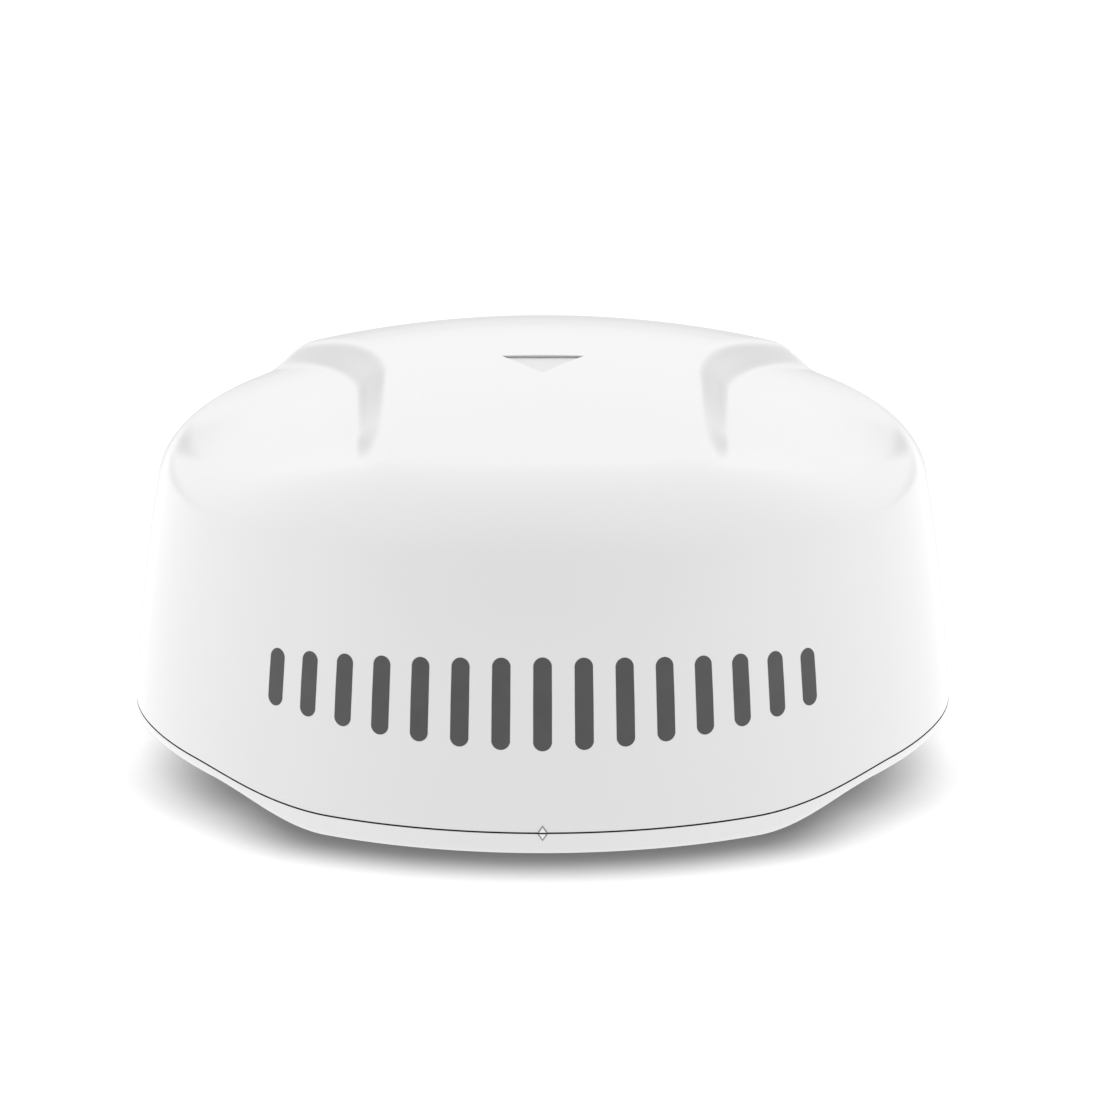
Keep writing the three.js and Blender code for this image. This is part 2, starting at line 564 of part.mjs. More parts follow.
// ---- connectors and small fittings --------------------------------------------------------------
for (const { name, x, radius, hole, look } of CONNECTORS) {
  const flange = discAlongY(radius, POCKET_FRONT_Y + FIT_GAP, POCKET_FRONT_Y + 4, x, CONNECTOR_Z);
  const barrel = discAlongY(hole, POCKET_FRONT_Y - 16, POCKET_FRONT_Y + 22, x, CONNECTOR_Z);
  const mouth = discAlongY(hole - 1.6, POCKET_FRONT_Y + 10, POCKET_FRONT_Y + 23, x, CONNECTOR_Z);
  const pin = discAlongY(2.2, POCKET_FRONT_Y + 9, POCKET_FRONT_Y + 19, x, CONNECTOR_Z, 8);
  addPart(name, union(cut(union(flange, barrel), mouth), pin), look);
  const nutOuter = disc(hole + 3.3, -POCKET_FRONT_Y + COVER_WALL + FIT_GAP, -POCKET_FRONT_Y + 10, 6);
  const nutHole = disc(hole + FIT_GAP, -POCKET_FRONT_Y, -POCKET_FRONT_Y + 12, 14);
  const nut = cut(nutOuter, nutHole).rotate([90, 0, 0]).translate([x, 0, CONNECTOR_Z]);
  addPart(`${name}_nut`, nut, FINISH.brass);
}

const ventCap = lathe([
  [0, 0.8], [VENT.radius - 1, 0.8], [VENT.radius, 1.8], [VENT.radius, 3.7],
  [4, 3.7], [4, 11], [0, 11]], 16);
addPart('vent_plug', ventCap.translate([VENT.x, VENT.y, 0]), FINISH.darkPlastic);

const groundHead = cut(disc(4.4, 0.6, PAN_UNDERSIDE_Z - FIT_GAP, 12), box([-0.6, 0.6], [-5, 5], [0, 1.8]));
const groundScrew = union(groundHead, disc(2.5, 3, 14, 12));
addPart('ground_screw', groundScrew.translate([GROUND.x, GROUND.y, 0]), FINISH.steel);

// ---- electronics --------------------------------------------------------------------------------
const chips = [
  [[-60, -30], [-140, -110], 3], [[-10, 12], [-145, -123], 2.4], [[30, 70], [-150, -130], 9],
  [[-20, 0], [-105, -90], 5], [[40, 56], [-112, -96], 9],
];
const mainBoard = union(
  plate(0, BOARD_CENTRE_Y, BOARD_HALF[0], BOARD_HALF[1], 4, BOARD_Z[0], BOARD_Z[1]),
  ...chips.map(([x, y, height]) => box(x, y, [BOARD_Z[1] - 0.5, BOARD_Z[1] + height])));
addPart('main_board', mainBoard, FINISH.board);

const RF_CENTRE = [112, 0];
const rfTray = cut(
  plate(RF_CENTRE[0], RF_CENTRE[1], 46, 42, 5, PAN_FLOOR_Z + FIT_GAP, 34),
  plate(RF_CENTRE[0], RF_CENTRE[1], 43, 39, 3, 12, 36));
addPart('rf_module_housing', rfTray, FINISH.aluminium);
const RF_RIBS = 11;
const RF_RIB_PITCH = 6.4;
const ribs = [];
for (let i = 0; i < RF_RIBS; i += 1) {
  const y = (i - (RF_RIBS - 1) / 2) * RF_RIB_PITCH;
  ribs.push(box([RF_CENTRE[0] - 36, RF_CENTRE[0] + 36], [y - 0.9, y + 0.9], [36, 40]));
}
const rfLid = union(plate(RF_CENTRE[0], RF_CENTRE[1], 46, 42, 5, 34 + FIT_GAP, 37), ...ribs);
addPart('rf_module_lid', rfLid, FINISH.aluminium);

addPart('power_harness', cable([
  [-18, POCKET_FRONT_Y - 16.6, CONNECTOR_Z], [-18, POCKET_FRONT_Y - 24, CONNECTOR_Z], [-34, 84, 15],
  [-90, 50, 13], [-113, 10, 13], [-112, -30, 13], [-98, -62, 16], [-80, -86, 20]], 2.6, 16), FINISH.cable);
addPart('network_harness', cable([
  [18, POCKET_FRONT_Y - 16.6, CONNECTOR_Z], [18, POCKET_FRONT_Y - 24, CONNECTOR_Z], [36, 70, 17],
  [56, 50, 18], [63, 30, 22]], 2.2, 10), FINISH.cable);

// ---- pedestal and bearings ----------------------------------------------------------------------
const BEARING_SEAT = BEARING_OUTER[1] + FIT_GAP;
const pedestalBody = lathe([
  [PEDESTAL_FOOT_BORE, PAN_FLOOR_Z + FIT_GAP], [PEDESTAL_FLANGE_RADIUS, PAN_FLOOR_Z + FIT_GAP],
  [PEDESTAL_FLANGE_RADIUS, 13], [PEDESTAL_COLUMN_RADIUS + 1, 14.5],
  [PEDESTAL_COLUMN_RADIUS - 1, PEDESTAL_TOP_Z], [BEARING_SEAT, PEDESTAL_TOP_Z],
  [BEARING_SEAT, UPPER_BEARING_Z[0] - FIT_GAP], [PEDESTAL_WAIST_BORE, UPPER_BEARING_Z[0] - FIT_GAP],
  [PEDESTAL_WAIST_BORE, LOWER_BEARING_Z[1] + FIT_GAP], [BEARING_SEAT, LOWER_BEARING_Z[1] + FIT_GAP],
  [BEARING_SEAT, LOWER_BEARING_Z[0] - FIT_GAP], [PEDESTAL_FOOT_BORE, LOWER_BEARING_Z[0] - FIT_GAP]], 24);
const pedestalHoles = PEDESTAL_SCREW_AZIMUTHS.map((azimuth) => (
  aroundAxis(disc(2.6, 7, 20, 12), PEDESTAL_SCREW_CIRCLE, azimuth)));
addPart('pedestal', cut(pedestalBody, ...pedestalHoles), FINISH.aluminium);

for (const [name, azimuth] of Object.entries(PEDESTAL_SCREWS)) {
  const head = disc(3.8, 14.9, 18.4, 12);
  const shank = disc(2, 5.6, 15.5, 10);
  const screw = cut(union(head, shank), hexSocket(1.8, 16.4, 19));
  addPart(`pedestal_screw_${name}`, aroundAxis(screw, PEDESTAL_SCREW_CIRCLE, azimuth), FINISH.steel);
}

// One bearing: outer and inner race with a shallow ball track, and the caged balls between them.
function addBearing(name, [z0, z1]) {
  const middle = (z0 + z1) / 2;
  const trackHalf = 2;
  const trackDepth = 0.75;
  const race = (track, back, sign) => lathe([
    [back, z0], [track, z0], [track, middle - trackHalf], [track + sign * trackDepth, middle],
    [track, middle + trackHalf], [track, z1], [back, z1]], 20);
  addPart(`${name}_outer_race`, race(BEARING_OUTER[0], BEARING_OUTER[1], 1), FINISH.steel);
  addPart(`${name}_inner_race`, race(BEARING_INNER[1], BEARING_INNER[0], -1), FINISH.steel);
  const cage = tube(BEARING_BALL_CIRCLE - 0.7, BEARING_BALL_CIRCLE + 0.7, middle - 0.9, middle + 0.9, 14);
  const balls = [];
  for (let i = 0; i < BEARING_BALLS; i += 1) {
    const ball = solid(new THREE.SphereGeometry(BEARING_BALL_RADIUS - 0.05, 6, 4));
    balls.push(ball.translate([BEARING_BALL_CIRCLE, 0, middle]).rotate([0, 0, 360 * i / BEARING_BALLS]));
  }
  addPart(`${name}_balls`, union(cage, ...balls), FINISH.steel);
}
addBearing('lower_bearing', LOWER_BEARING_Z);
addBearing('upper_bearing', UPPER_BEARING_Z);

// ---- gears --------------------------------------------------------------------------------------
// Outline of an involute spur gear, one tooth centred on the angle given.
function gearShape(teeth, centreAngle) {
  const pitch = GEAR_MODULE * teeth / 2;
  const base = pitch * Math.cos(PRESSURE_ANGLE);
  const tip = pitch + GEAR_MODULE * 0.95;
  const rootRadius = pitch - 1.3 * GEAR_MODULE;
  const involute = (radius) => {
    const a = Math.acos(Math.min(1, base / radius));
    return Math.tan(a) - a;
  };
  const halfAtPitch = (Math.PI * GEAR_MODULE / 2 - TOOTH_THINNING) / (2 * pitch);
  const halfAngle = (radius) => halfAtPitch + involute(pitch) - involute(Math.max(radius, base));
  const flankRadii = [Math.max(base, rootRadius + 0.2), tip];
  const points = [];
  for (let i = 0; i < teeth; i += 1) {
    const middle = centreAngle + 2 * Math.PI * i / teeth;
    const rise = flankRadii.map((r) => [r, middle - halfAngle(r)]);
    const fall = [...flankRadii].reverse().map((r) => [r, middle + halfAngle(r)]);
    const footAngle = halfAngle(flankRadii[0]) + 0.1 / rootRadius;
    const outline = [[rootRadius, middle - footAngle], ...rise, ...fall, [rootRadius, middle + footAngle]];
    for (const [r, angle] of outline) {
      points.push(new THREE.Vector2(r * Math.cos(angle), r * Math.sin(angle)));
    }
  }
  return new THREE.Shape(points);
}

// The pinion sits on -X of the gear; a gear tooth points at -X and a pinion gap faces it at +X.
const magnetPocket = disc(3.3, GEAR_Z[0] - 1, GEAR_Z[0] + 1.4, 12).translate([0, MAGNET_Y, 0]);
const gearBody = prism(gearShape(GEAR_TEETH, Math.PI), GEAR_Z[0], GEAR_Z[1]);
addPart('main_gear', cut(gearBody, disc(SHAFT_RADIUS + FIT_GAP, 50, 70, 24), magnetPocket), FINISH.acetal);

const pinionBody = prism(gearShape(PINION_TEETH, Math.PI / PINION_TEETH), PINION_Z[0], PINION_Z[1]);
const pinion = cut(pinionBody, disc(MOTOR_SHAFT_RADIUS + FIT_GAP, 50, 70, 12));
addPart('pinion', pinion.translate([-GEAR_CENTRES, 0, 0]), FINISH.brass);

// ---- drive motor --------------------------------------------------------------------------------
const motorAt = (body) => body.translate([-GEAR_CENTRES, 0, 0]);
const motorCan = union(
  plate(0, 0, MOTOR_HALF, MOTOR_HALF, 4, MOTOR_Z[0], MOTOR_Z[1]),
  disc(MOTOR_COLLAR_RADIUS, MOTOR_Z[1] - 1, MOTOR_Z[1] + MOTOR_COLLAR_HEIGHT, 20));
const motorBore = disc(MOTOR_SHAFT_RADIUS + 0.6, MOTOR_Z[1] - 7, MOTOR_Z[1] + 3, 16);
const atMotorScrew = (body, side) => body.translate([-MOTOR_SCREW_OFFSET, side * MOTOR_SCREW_OFFSET, 0]);
const motorScrewHoles = [-1, 1].map((side) => (
  atMotorScrew(disc(1.9, MOTOR_Z[1] - 7, MOTOR_Z[1] + 4, 10), side)));
addPart('drive_motor', motorAt(cut(motorCan, motorBore, ...motorScrewHoles)), FINISH.motor);

const bracketTop = plate(0, 0, 22, BRACKET_HALF_WIDTH, 3, MOTOR_PLATE_Z[0], MOTOR_PLATE_Z[1]);
const bracketFootZ = PAN_FLOOR_Z + FIT_GAP;
const legInside = BRACKET_HALF_WIDTH - BRACKET_SHEET;
const bracketLegs = [-1, 1].map((side) => union(
  box([-18, 18], sided(side, legInside, BRACKET_HALF_WIDTH), [bracketFootZ, MOTOR_PLATE_Z[1] - 1]),
  box([-18, 12], sided(side, legInside, 42), [bracketFootZ, bracketFootZ + BRACKET_SHEET])));
const motorBracket = cut(
  union(bracketTop, ...bracketLegs), disc(11.2, MOTOR_PLATE_Z[0] - 1, MOTOR_PLATE_Z[1] + 1, 24),
  ...motorScrewHoles);
addPart('motor_bracket', motorAt(motorBracket), FINISH.aluminium);

[['front', -1], ['rear', 1]].forEach(([name, side]) => {
  const head = disc(3, MOTOR_PLATE_Z[1] + FIT_GAP, MOTOR_PLATE_Z[1] + 2.3, 12);
  const shank = disc(1.5, MOTOR_Z[1] - 5, MOTOR_PLATE_Z[1] + 0.7, 10);
  const screw = cut(union(head, shank), hexSocket(1.4, MOTOR_PLATE_Z[1] + 1.1, MOTOR_PLATE_Z[1] + 3));
  addPart(`motor_screw_${name}`, motorAt(atMotorScrew(screw, side)), FINISH.steel);
});

const motorShaft = disc(MOTOR_SHAFT_RADIUS, MOTOR_Z[1] - 6, PINION_Z[1] + 1.2, 12);
addPart('motor_shaft', motorAt(motorShaft), FINISH.steel);
addPart('motor_cable', cable([
  [-GEAR_CENTRES - MOTOR_HALF - 0.5, 0, 18], [-GEAR_CENTRES - MOTOR_HALF - 7, 0, 18], [-94, -24, 18],
  [-80, -56, 19], [-56, -84, 20]], 1.8, 12), FINISH.cable);

// ---- turning antenna ----------------------------------------------------------------------------
addPart('antenna_shaft', lathe([
  [SHAFT_BORE, SHAFT_BOTTOM_Z], [SHAFT_RADIUS, SHAFT_BOTTOM_Z], [SHAFT_RADIUS, 14.2], [7.5, 14.2],
  [7.5, 15.6], [SHAFT_RADIUS, 15.6], [SHAFT_RADIUS, SHAFT_FLANGE_Z[0]],
  [SHAFT_FLANGE_RADIUS, SHAFT_FLANGE_Z[0]], [SHAFT_FLANGE_RADIUS, SHAFT_FLANGE_Z[1]],
  [SHAFT_BORE, SHAFT_FLANGE_Z[1]]], 24), FINISH.steel);
const ringGap = box([-1.5, 1.5], [-14, 0], [14, 16]);
addPart('shaft_retaining_ring', cut(tube(7.8, 10.6, 14.5, 15.3, 20), ringGap), FINISH.steel);

addPart('rotary_joint_stator', union(
  disc(7, PAN_FLOOR_Z + FIT_GAP, 12.8, 16), disc(2, 12, 49, 12)), FINISH.brass);
addPart('rotary_joint_rotor', union(
  disc(4.2, 51, ARRAY_FOOT_Z[1] + 2, 12),
  disc(8, ARRAY_FOOT_Z[1] + FIT_GAP, ARRAY_FOOT_Z[1] + 6, 16)), FINISH.brass);

const magnet = disc(3, GEAR_Z[0] - 1.2, GEAR_Z[0] + 1.1, 12);
addPart('index_magnet', magnet.translate([0, MAGNET_Y, 0]), FINISH.steel);
const sensorPost = union(
  box([-4, 4], [41.5, 46], [PAN_FLOOR_Z + FIT_GAP, 53.5]), box([-5, 5], [33, 46], [50.5, 53.5]),
  box([-7, 7], [40.5, 52], [PAN_FLOOR_Z + FIT_GAP, 11]));
addPart('position_sensor', sensorPost, FINISH.darkPlastic);

// Bracket: a foot on the shaft flange with two folded ears that carry the array.
const arrayFoot = plate(0, 4, 62, 24, 6, ARRAY_FOOT_Z[0], ARRAY_FOOT_Z[1]);
const ears = [-1, 1].map((side) => (
  box(sided(side, 34, 58), [11, 14], [ARRAY_FOOT_Z[1] - 1, ARRAY_EAR_TOP_Z])));
const gussets = [-1, 1].map((side) => (
  box(sided(side, 44, 47), [12, 27], [ARRAY_FOOT_Z[1] - 1, 90])));
const footHole = disc(SHAFT_BORE, ARRAY_FOOT_Z[0] - 1, ARRAY_FOOT_Z[1] + 1, 16);
addPart('array_bracket', cut(union(arrayFoot, ...ears, ...gussets), footHole), FINISH.aluminium);

const channelWall = 3;
const backplate = cut(
  box([-ARRAY_HALF_LENGTH, ARRAY_HALF_LENGTH], ARRAY_CHANNEL_Y, ARRAY_Z),
  box([-ARRAY_HALF_LENGTH - 1, ARRAY_HALF_LENGTH + 1],
    [ARRAY_CHANNEL_Y[0] - 1, ARRAY_CHANNEL_Y[1] - 2.5],
    [ARRAY_Z[0] + channelWall, ARRAY_Z[1] - channelWall]));
addPart('array_backplate', backplate, FINISH.aluminium);

const patchPitch = 2 * (ARRAY_HALF_LENGTH - 10) / ARRAY_PATCHES;
const patches = [];
for (let i = 0; i < ARRAY_PATCHES; i += 1) {
  const x = (i - (ARRAY_PATCHES - 1) / 2) * patchPitch;
  for (const z of PATCH_ROW_Z) {
    const patch = box(
      [x - PATCH_HALF, x + PATCH_HALF], [PATCH_FRONT_Y, ARRAY_BOARD_Y[0] + 1],
      [z - PATCH_HALF, z + PATCH_HALF]);
    patches.push(patch);
  }
}
const boardHalf = ARRAY_HALF_LENGTH - 2;
const arrayBoard = box([-boardHalf, boardHalf], ARRAY_BOARD_Y, [ARRAY_Z[0] + 1, ARRAY_Z[1] - 1]);
addPart('array_board', union(arrayBoard, ...patches), FINISH.copperBoard);

// End cap: a cover plate over the channel's end with a tongue inside it.
[['left', -1], ['right', 1]].forEach(([name, side]) => {
  const plateX = sided(side, ARRAY_HALF_LENGTH + FIT_GAP, ARRAY_HALF_LENGTH + 3);
  const tongueX = sided(side, ARRAY_HALF_LENGTH - 8, ARRAY_HALF_LENGTH + 1);
  const cap = union(
    box(plateX, [-11.5, 11], [ARRAY_Z[0] - 0.5, ARRAY_Z[1] + 0.5]),
    box(tongueX, [-7, 7.5], [ARRAY_Z[0] + 3.5, ARRAY_Z[1] - 3.5]));
  addPart(`array_end_cap_${name}`, cap, FINISH.darkPlastic);
});

addPart('feed_cable', cable([
  [0, 8.5, 71.8], [0, 14, 71.8], [0, 21, 79],
  [0, 22, 100], [0, 17, 112], [0, 11.2, 113]], 1.8, 12), FINISH.cable);

export default root;
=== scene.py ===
import math

import bmesh
import bpy
import numpy as np
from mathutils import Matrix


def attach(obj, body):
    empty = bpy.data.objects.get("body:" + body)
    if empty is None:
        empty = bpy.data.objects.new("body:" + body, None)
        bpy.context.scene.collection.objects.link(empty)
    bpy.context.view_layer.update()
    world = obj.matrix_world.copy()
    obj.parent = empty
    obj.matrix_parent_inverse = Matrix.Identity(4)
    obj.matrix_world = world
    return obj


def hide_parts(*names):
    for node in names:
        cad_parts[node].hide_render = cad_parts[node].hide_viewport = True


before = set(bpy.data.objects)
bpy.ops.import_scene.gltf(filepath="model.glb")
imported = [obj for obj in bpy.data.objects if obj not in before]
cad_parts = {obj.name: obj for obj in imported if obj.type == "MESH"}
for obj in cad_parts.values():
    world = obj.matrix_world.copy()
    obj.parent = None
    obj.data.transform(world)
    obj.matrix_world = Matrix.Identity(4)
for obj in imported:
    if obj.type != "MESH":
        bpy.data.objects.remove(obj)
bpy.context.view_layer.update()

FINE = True

# Lengths below are millimetres; mesh_object() turns them into metres. The front of the cover faces -Y, and
# an azimuth is measured from the front, in degrees.
AROUND = 360 if FINE else 180

# ---- shape of the cover and the base -------------------------------------------------------------
WALL_RADIUS, WALL_WIDEST_Z, WALL_CURVE = 254.0, -15.0, 1121.0
CROWN_TOP, CROWN_RADIUS, CROWN_FRONT_STRETCH, RECESS_DEPTH = 250.0, 668.0, 0.85, 2.1
DECK_DEPTH, DECK_DEPTH_X, DECK_DEPTH_SLOPE = 14.6, 200.0, 0.06
DECK_EDGE_X, DECK_EDGE_FLARE, DECK_EDGE_START_Y, DECK_EDGE_POWER = 105.0, 0.0222, -19.4, 1.53
DECK_STEP_HALF_FRONT, DECK_STEP_HALF_REAR = 11.0, 17.5
RIM_BLEND_FRONT, RIM_BLEND_SIDE, INSIDE_Z = 34.0, 15.0, 60.0
WALL, SEAM_HALF_GAP = 4.0, 0.4
SEAM_FRONT_Z, SEAM_SIDE_Z, SKIRT_FRONT_Z, SKIRT_SIDE_Z, SKIRT_ROUND = 15.0, 30.0, 1.0, 22.5, 6.0
PAN_RADIUS, PAN_UNDERSIDE, PAN_FLOOR = 212.0, 4.0, 8.0
# The last value on the next line is how far above the parting gap the painted shade on the ring reaches.
RING_INNER, RING_OUTER, RING_TOP, GUTTER, SHADE_ABOVE_GAP = 233.0, 243.0, 34.0, 4.0, 3.0
FLANGE_LOW, FLANGE_HIGH, FLANGE_INNER = 34.6, 38.6, 232.0
GASKET_RADIUS = 238.0
MOUNT_X, MOUNT_Y = 116.5, 70.75
SCREW_CIRCLE, THREAD_DEPTH = 222.0, 0.16
CORNERS = {"front_right": 45, "rear_right": 135, "rear_left": 225, "front_left": 315}
GEAR_MODULE, GEAR_TEETH, PINION_TEETH = 1.5, 64, 16
MOTOR_X, MOTOR_SCREW = -60.0, 15.5
MAGNET_Y = 38
COLUMN_SCREW_CIRCLE, COLUMN_SCREWS = 30.5, {"right": 60, "rear": 180, "left": 300}
BOARD_SCREWS = [(x, y) for x in (-80, 80) for y in (-155, -89)]
VENT_PLACE, EARTH_PLACE = (62, 165), (-62, 165)
DECAL_BARS, DECAL_PITCH, DECAL_WIDTH, DECAL_Z, DECAL_DROP = 15, 25.6, 11.6, 95.0, 22.0
DECAL_HEIGHT, DECAL_POWER, DECAL_RADIUS = 57.6, 1.6, 252.0
ARRAY_HALF, ARRAY_LOW, ARRAY_HIGH, ARRAY_PATCHES, PATCH_HALF = 192.0, 80.0, 150.0, 20, 5.6
POCKET_FRONT, POCKET_REAR, POCKET_TOP, CONNECTOR_Z = 122.0, 228.0, 30.0, 19.0
# name: place across, barrel radius, flange radius
CONNECTORS = {"power": (-18.0, 7.0, 10.0), "network": (18.0, 6.0, 9.0)}


def ease(x, start, end):
    t = np.clip((np.asarray(x, float) - start) / (end - start), 0.0, 1.0)
    return t * t * (3 - 2 * t)


def wall_radius(z):
    return WALL_RADIUS - (z - WALL_WIDEST_Z) ** 2 / (2 * WALL_CURVE)


def folded(azimuth):
    a = np.mod(azimuth, 360.0)
    a = np.where(a > 180, 360 - a, a)
    return np.where(a > 90, 180 - a, a)


def seam_height(azimuth):
    a = folded(azimuth)
    return SEAM_FRONT_Z + (SEAM_SIDE_Z - SEAM_FRONT_Z) * (0.72 * ease(a, 31, 58) + 0.28 * ease(a, 40, 76))


def skirt_height(azimuth):
    a = folded(azimuth)
    return SKIRT_FRONT_Z + (SKIRT_SIDE_Z - SKIRT_FRONT_Z) * (0.78 * ease(a, 32, 54) + 0.22 * ease(a, 45, 74))


def crown_height(x, y):
    """A sphere, flatter along Y in the front half."""
    along = np.where(y < 0, CROWN_FRONT_STRETCH * y, y)
    return CROWN_TOP - CROWN_RADIUS + np.sqrt(CROWN_RADIUS ** 2 - x * x - along * along)


def top_height(x, y):
    edge = DECK_EDGE_X + DECK_EDGE_FLARE * np.maximum(0, y - DECK_EDGE_START_Y) ** DECK_EDGE_POWER
    half = DECK_STEP_HALF_FRONT + (DECK_STEP_HALF_REAR - DECK_STEP_HALF_FRONT) * ease(y, -60, 120)
    beyond = ease((np.abs(x) - edge) / half, -1, 1)
    depth = DECK_DEPTH + DECK_DEPTH_SLOPE * (np.abs(x) - DECK_DEPTH_X)
    return crown_height(x, y) - depth * beyond * ease(y, -200, -105)


def outside(x, y, z):
    """Signed distance from the cover's outer surface, with the rim rounded."""
    azimuth = folded(np.degrees(np.arctan2(x, -y)))
    sideness = np.where(y > 0, ease(azimuth, 20, 60), ease(azimuth, 15, 75))
    blend = RIM_BLEND_FRONT + (RIM_BLEND_SIDE - RIM_BLEND_FRONT) * sideness
    rho = np.hypot(x, y)
    over = (z - top_height(x, y)) * CROWN_RADIUS / np.hypot(CROWN_RADIUS, rho)
    beyond = (rho - wall_radius(z)) * WALL_CURVE / np.hypot(WALL_CURVE, z - WALL_WIDEST_Z)
    rounded = np.hypot(np.maximum(0, blend + over), np.maximum(0, blend + beyond))
    return np.minimum(-blend, np.maximum(over, beyond)) + rounded


def surface_loop(azimuths, rho, z, depth=0.0):
    """One ring of the cover surface: walks from the axis at INSIDE_Z towards (rho, z) at every azimuth."""
    sine, cosine = np.sin(np.radians(azimuths)), np.cos(np.radians(azimuths))
    low, high = np.full(len(azimuths), 0.3), np.full(len(azimuths), 1.3)
    for _ in range(36):
        t = (low + high) / 2
        height = INSIDE_Z + (z - INSIDE_Z) * t
        inside = outside(rho * t * sine, -rho * t * cosine, height) < -depth
        low, high = np.where(inside, t, low), np.where(inside, high, t)
    r = rho * low
    return np.stack([r * sine, -r * cosine, INSIDE_Z + (z - INSIDE_Z) * low], 1)


def ring(azimuths, r, z):
    """A ring of points; r and z are numbers or one value per azimuth."""
    sine, cosine = np.sin(np.radians(azimuths)), np.cos(np.radians(azimuths))
    return np.stack([r * sine, -r * cosine, z + 0 * sine], 1)


# ---- mesh builders -------------------------------------------------------------------------------
def skin(loops, closed=False):
    """Quads between equal loops; open ends are capped, a closed stack joins its last loop to its first."""
    loops = [np.asarray(loop, float) for loop in loops]
    n = len(loops[0])
    verts = np.concatenate(loops)
    pairs = [(i, i + 1) for i in range(len(loops) - 1)]
    if closed:
        pairs.append((len(loops) - 1, 0))
    faces = []
    for a, b in pairs:
        for i in range(n):
            j = (i + 1) % n
            faces.append((a * n + i, a * n + j, b * n + j, b * n + i))
    if not closed:
        faces.append(tuple(reversed(range(n))))
        faces.append(tuple((len(loops) - 1) * n + i for i in range(n)))
    return verts, faces


def filleted(points, radius, closed, steps=4):
    """Rounds every corner of a polyline; each point may carry its own radius as a third value."""
    count = len(points)
    result = []
    for i, point in enumerate(points):
        here = np.array(point[:2], float)
        if not closed and i in (0, count - 1):
            result.append(here)
            continue
        before = np.array(points[i - 1][:2], float) - here
        after = np.array(points[(i + 1) % count][:2], float) - here
        lengths = np.linalg.norm(before), np.linalg.norm(after)
        before, after = before / lengths[0], after / lengths[1]
        half = math.acos(max(-1.0, min(1.0, float(before @ after)))) / 2
        wanted = point[2] if len(point) > 2 else radius
        if wanted <= 0 or half > 1.55:
            result.append(here)
            continue
        reach = min(wanted / math.tan(half), 0.45 * min(lengths))
        start, end = here + before * reach, here + after * reach
        for k in range(steps + 1):
            t = k / steps
            result.append((1 - t) ** 2 * start + 2 * t * (1 - t) * here + t * t * end)
    return result


def lathe(profile, edge=0.3, segments=72):
    """A turned body. The profile starts and ends on the axis, or closes on itself."""
    closed = profile[0][0] != 0 or profile[-1][0] != 0
    angles = np.arange(segments) * 360.0 / segments
    loops = [ring(angles, max(r, 0.01), z) for r, z in filleted(profile, edge, closed)]
    return skin(loops, closed)


def disc(radius, low, high, edge=0.3, segments=72):
    return lathe([(0, low), (radius, low), (radius, high), (0, high)], edge, segments)


def tube(inner, outer, low, high, edge=0.2, segments=72):
    return lathe([(inner, low), (outer, low), (outer, high), (inner, high)], edge, segments)


def offset(outline, distance):
    """Moves a closed outline inwards along its corner bisectors."""
    p = np.asarray(outline, float)
    before, after = p - np.roll(p, 1, 0), np.roll(p, -1, 0) - p
    before /= np.linalg.norm(before, axis=1)[:, None]
    after /= np.linalg.norm(after, axis=1)[:, None]
    normal = np.stack([-(before + after)[:, 1], (before + after)[:, 0]], 1)
    normal /= np.maximum(np.linalg.norm(normal, axis=1), 1e-9)[:, None]
    side = np.stack([-before[:, 1], before[:, 0]], 1)
    return p + normal * (distance / np.maximum(0.35, (normal * side).sum(1)))[:, None]


def level(outline, z):
    p = np.asarray(outline, float)
    return np.column_stack([p, np.full(len(p), z)])


def raised(outline, low, high, edge=0.4, steps=3):
    """A flat outline (anticlockwise) raised from low to high with rounded top and bottom edges."""
    loops = []
    for k in range(steps + 1):
        a = math.pi / 2 * k / steps
        loops.append(level(offset(outline, edge * (1 - math.sin(a))), low + edge * (1 - math.cos(a))))
    for k in range(steps + 1):
        a = math.pi / 2 * (1 - k / steps)
        loops.append(level(offset(outline, edge * (1 - math.sin(a))), high - edge * (1 - math.cos(a))))
    return skin(loops)


def round_rect(x, y, half_x, half_y, radius, steps=6):
    points = []
    corners = ((1, -1, -90), (1, 1, 0), (-1, 1, 90), (-1, -1, 180))
    for sign_x, sign_y, start in corners:
        for k in range(steps + 1):
            a = math.radians(start + 90 * k / steps)
            points.append((x + sign_x * (half_x - radius) + radius * math.cos(a),
                           y + sign_y * (half_y - radius) + radius * math.sin(a)))
    return points


def block(x, y, z, corner=0.6, edge=0.4):
    """A rounded box from its limits along x, y and z."""
    corner = min(corner, 0.45 * min(x[1] - x[0], y[1] - y[0]))
    centre = (x[0] + x[1]) / 2, (y[0] + y[1]) / 2
    outline = round_rect(*centre, (x[1] - x[0]) / 2, (y[1] - y[0]) / 2, corner, 3)
    return raised(outline, z[0], z[1], min(edge, 0.45 * (z[1] - z[0]), 0.9 * corner))


def moved(part, x=0.0, y=0.0, z=0.0):
    return part[0] + np.array([x, y, z]), part[1]


def turned(part, degrees, axis="z"):
    c, s = math.cos(math.radians(degrees)), math.sin(math.radians(degrees))
    matrices = {"z": [[c, -s, 0], [s, c, 0], [0, 0, 1]], "x": [[1, 0, 0], [0, c, -s], [0, s, c]]}
    return part[0] @ np.array(matrices[axis]).T, part[1]


def on_circle(part, radius, azimuth):
    return turned(moved(part, 0, -radius, 0), azimuth)


def along_y(part, x, z):
    """Lays a part built up +Z so that it runs along +Y."""
    return moved(turned(part, -90, "x"), x, 0, z)


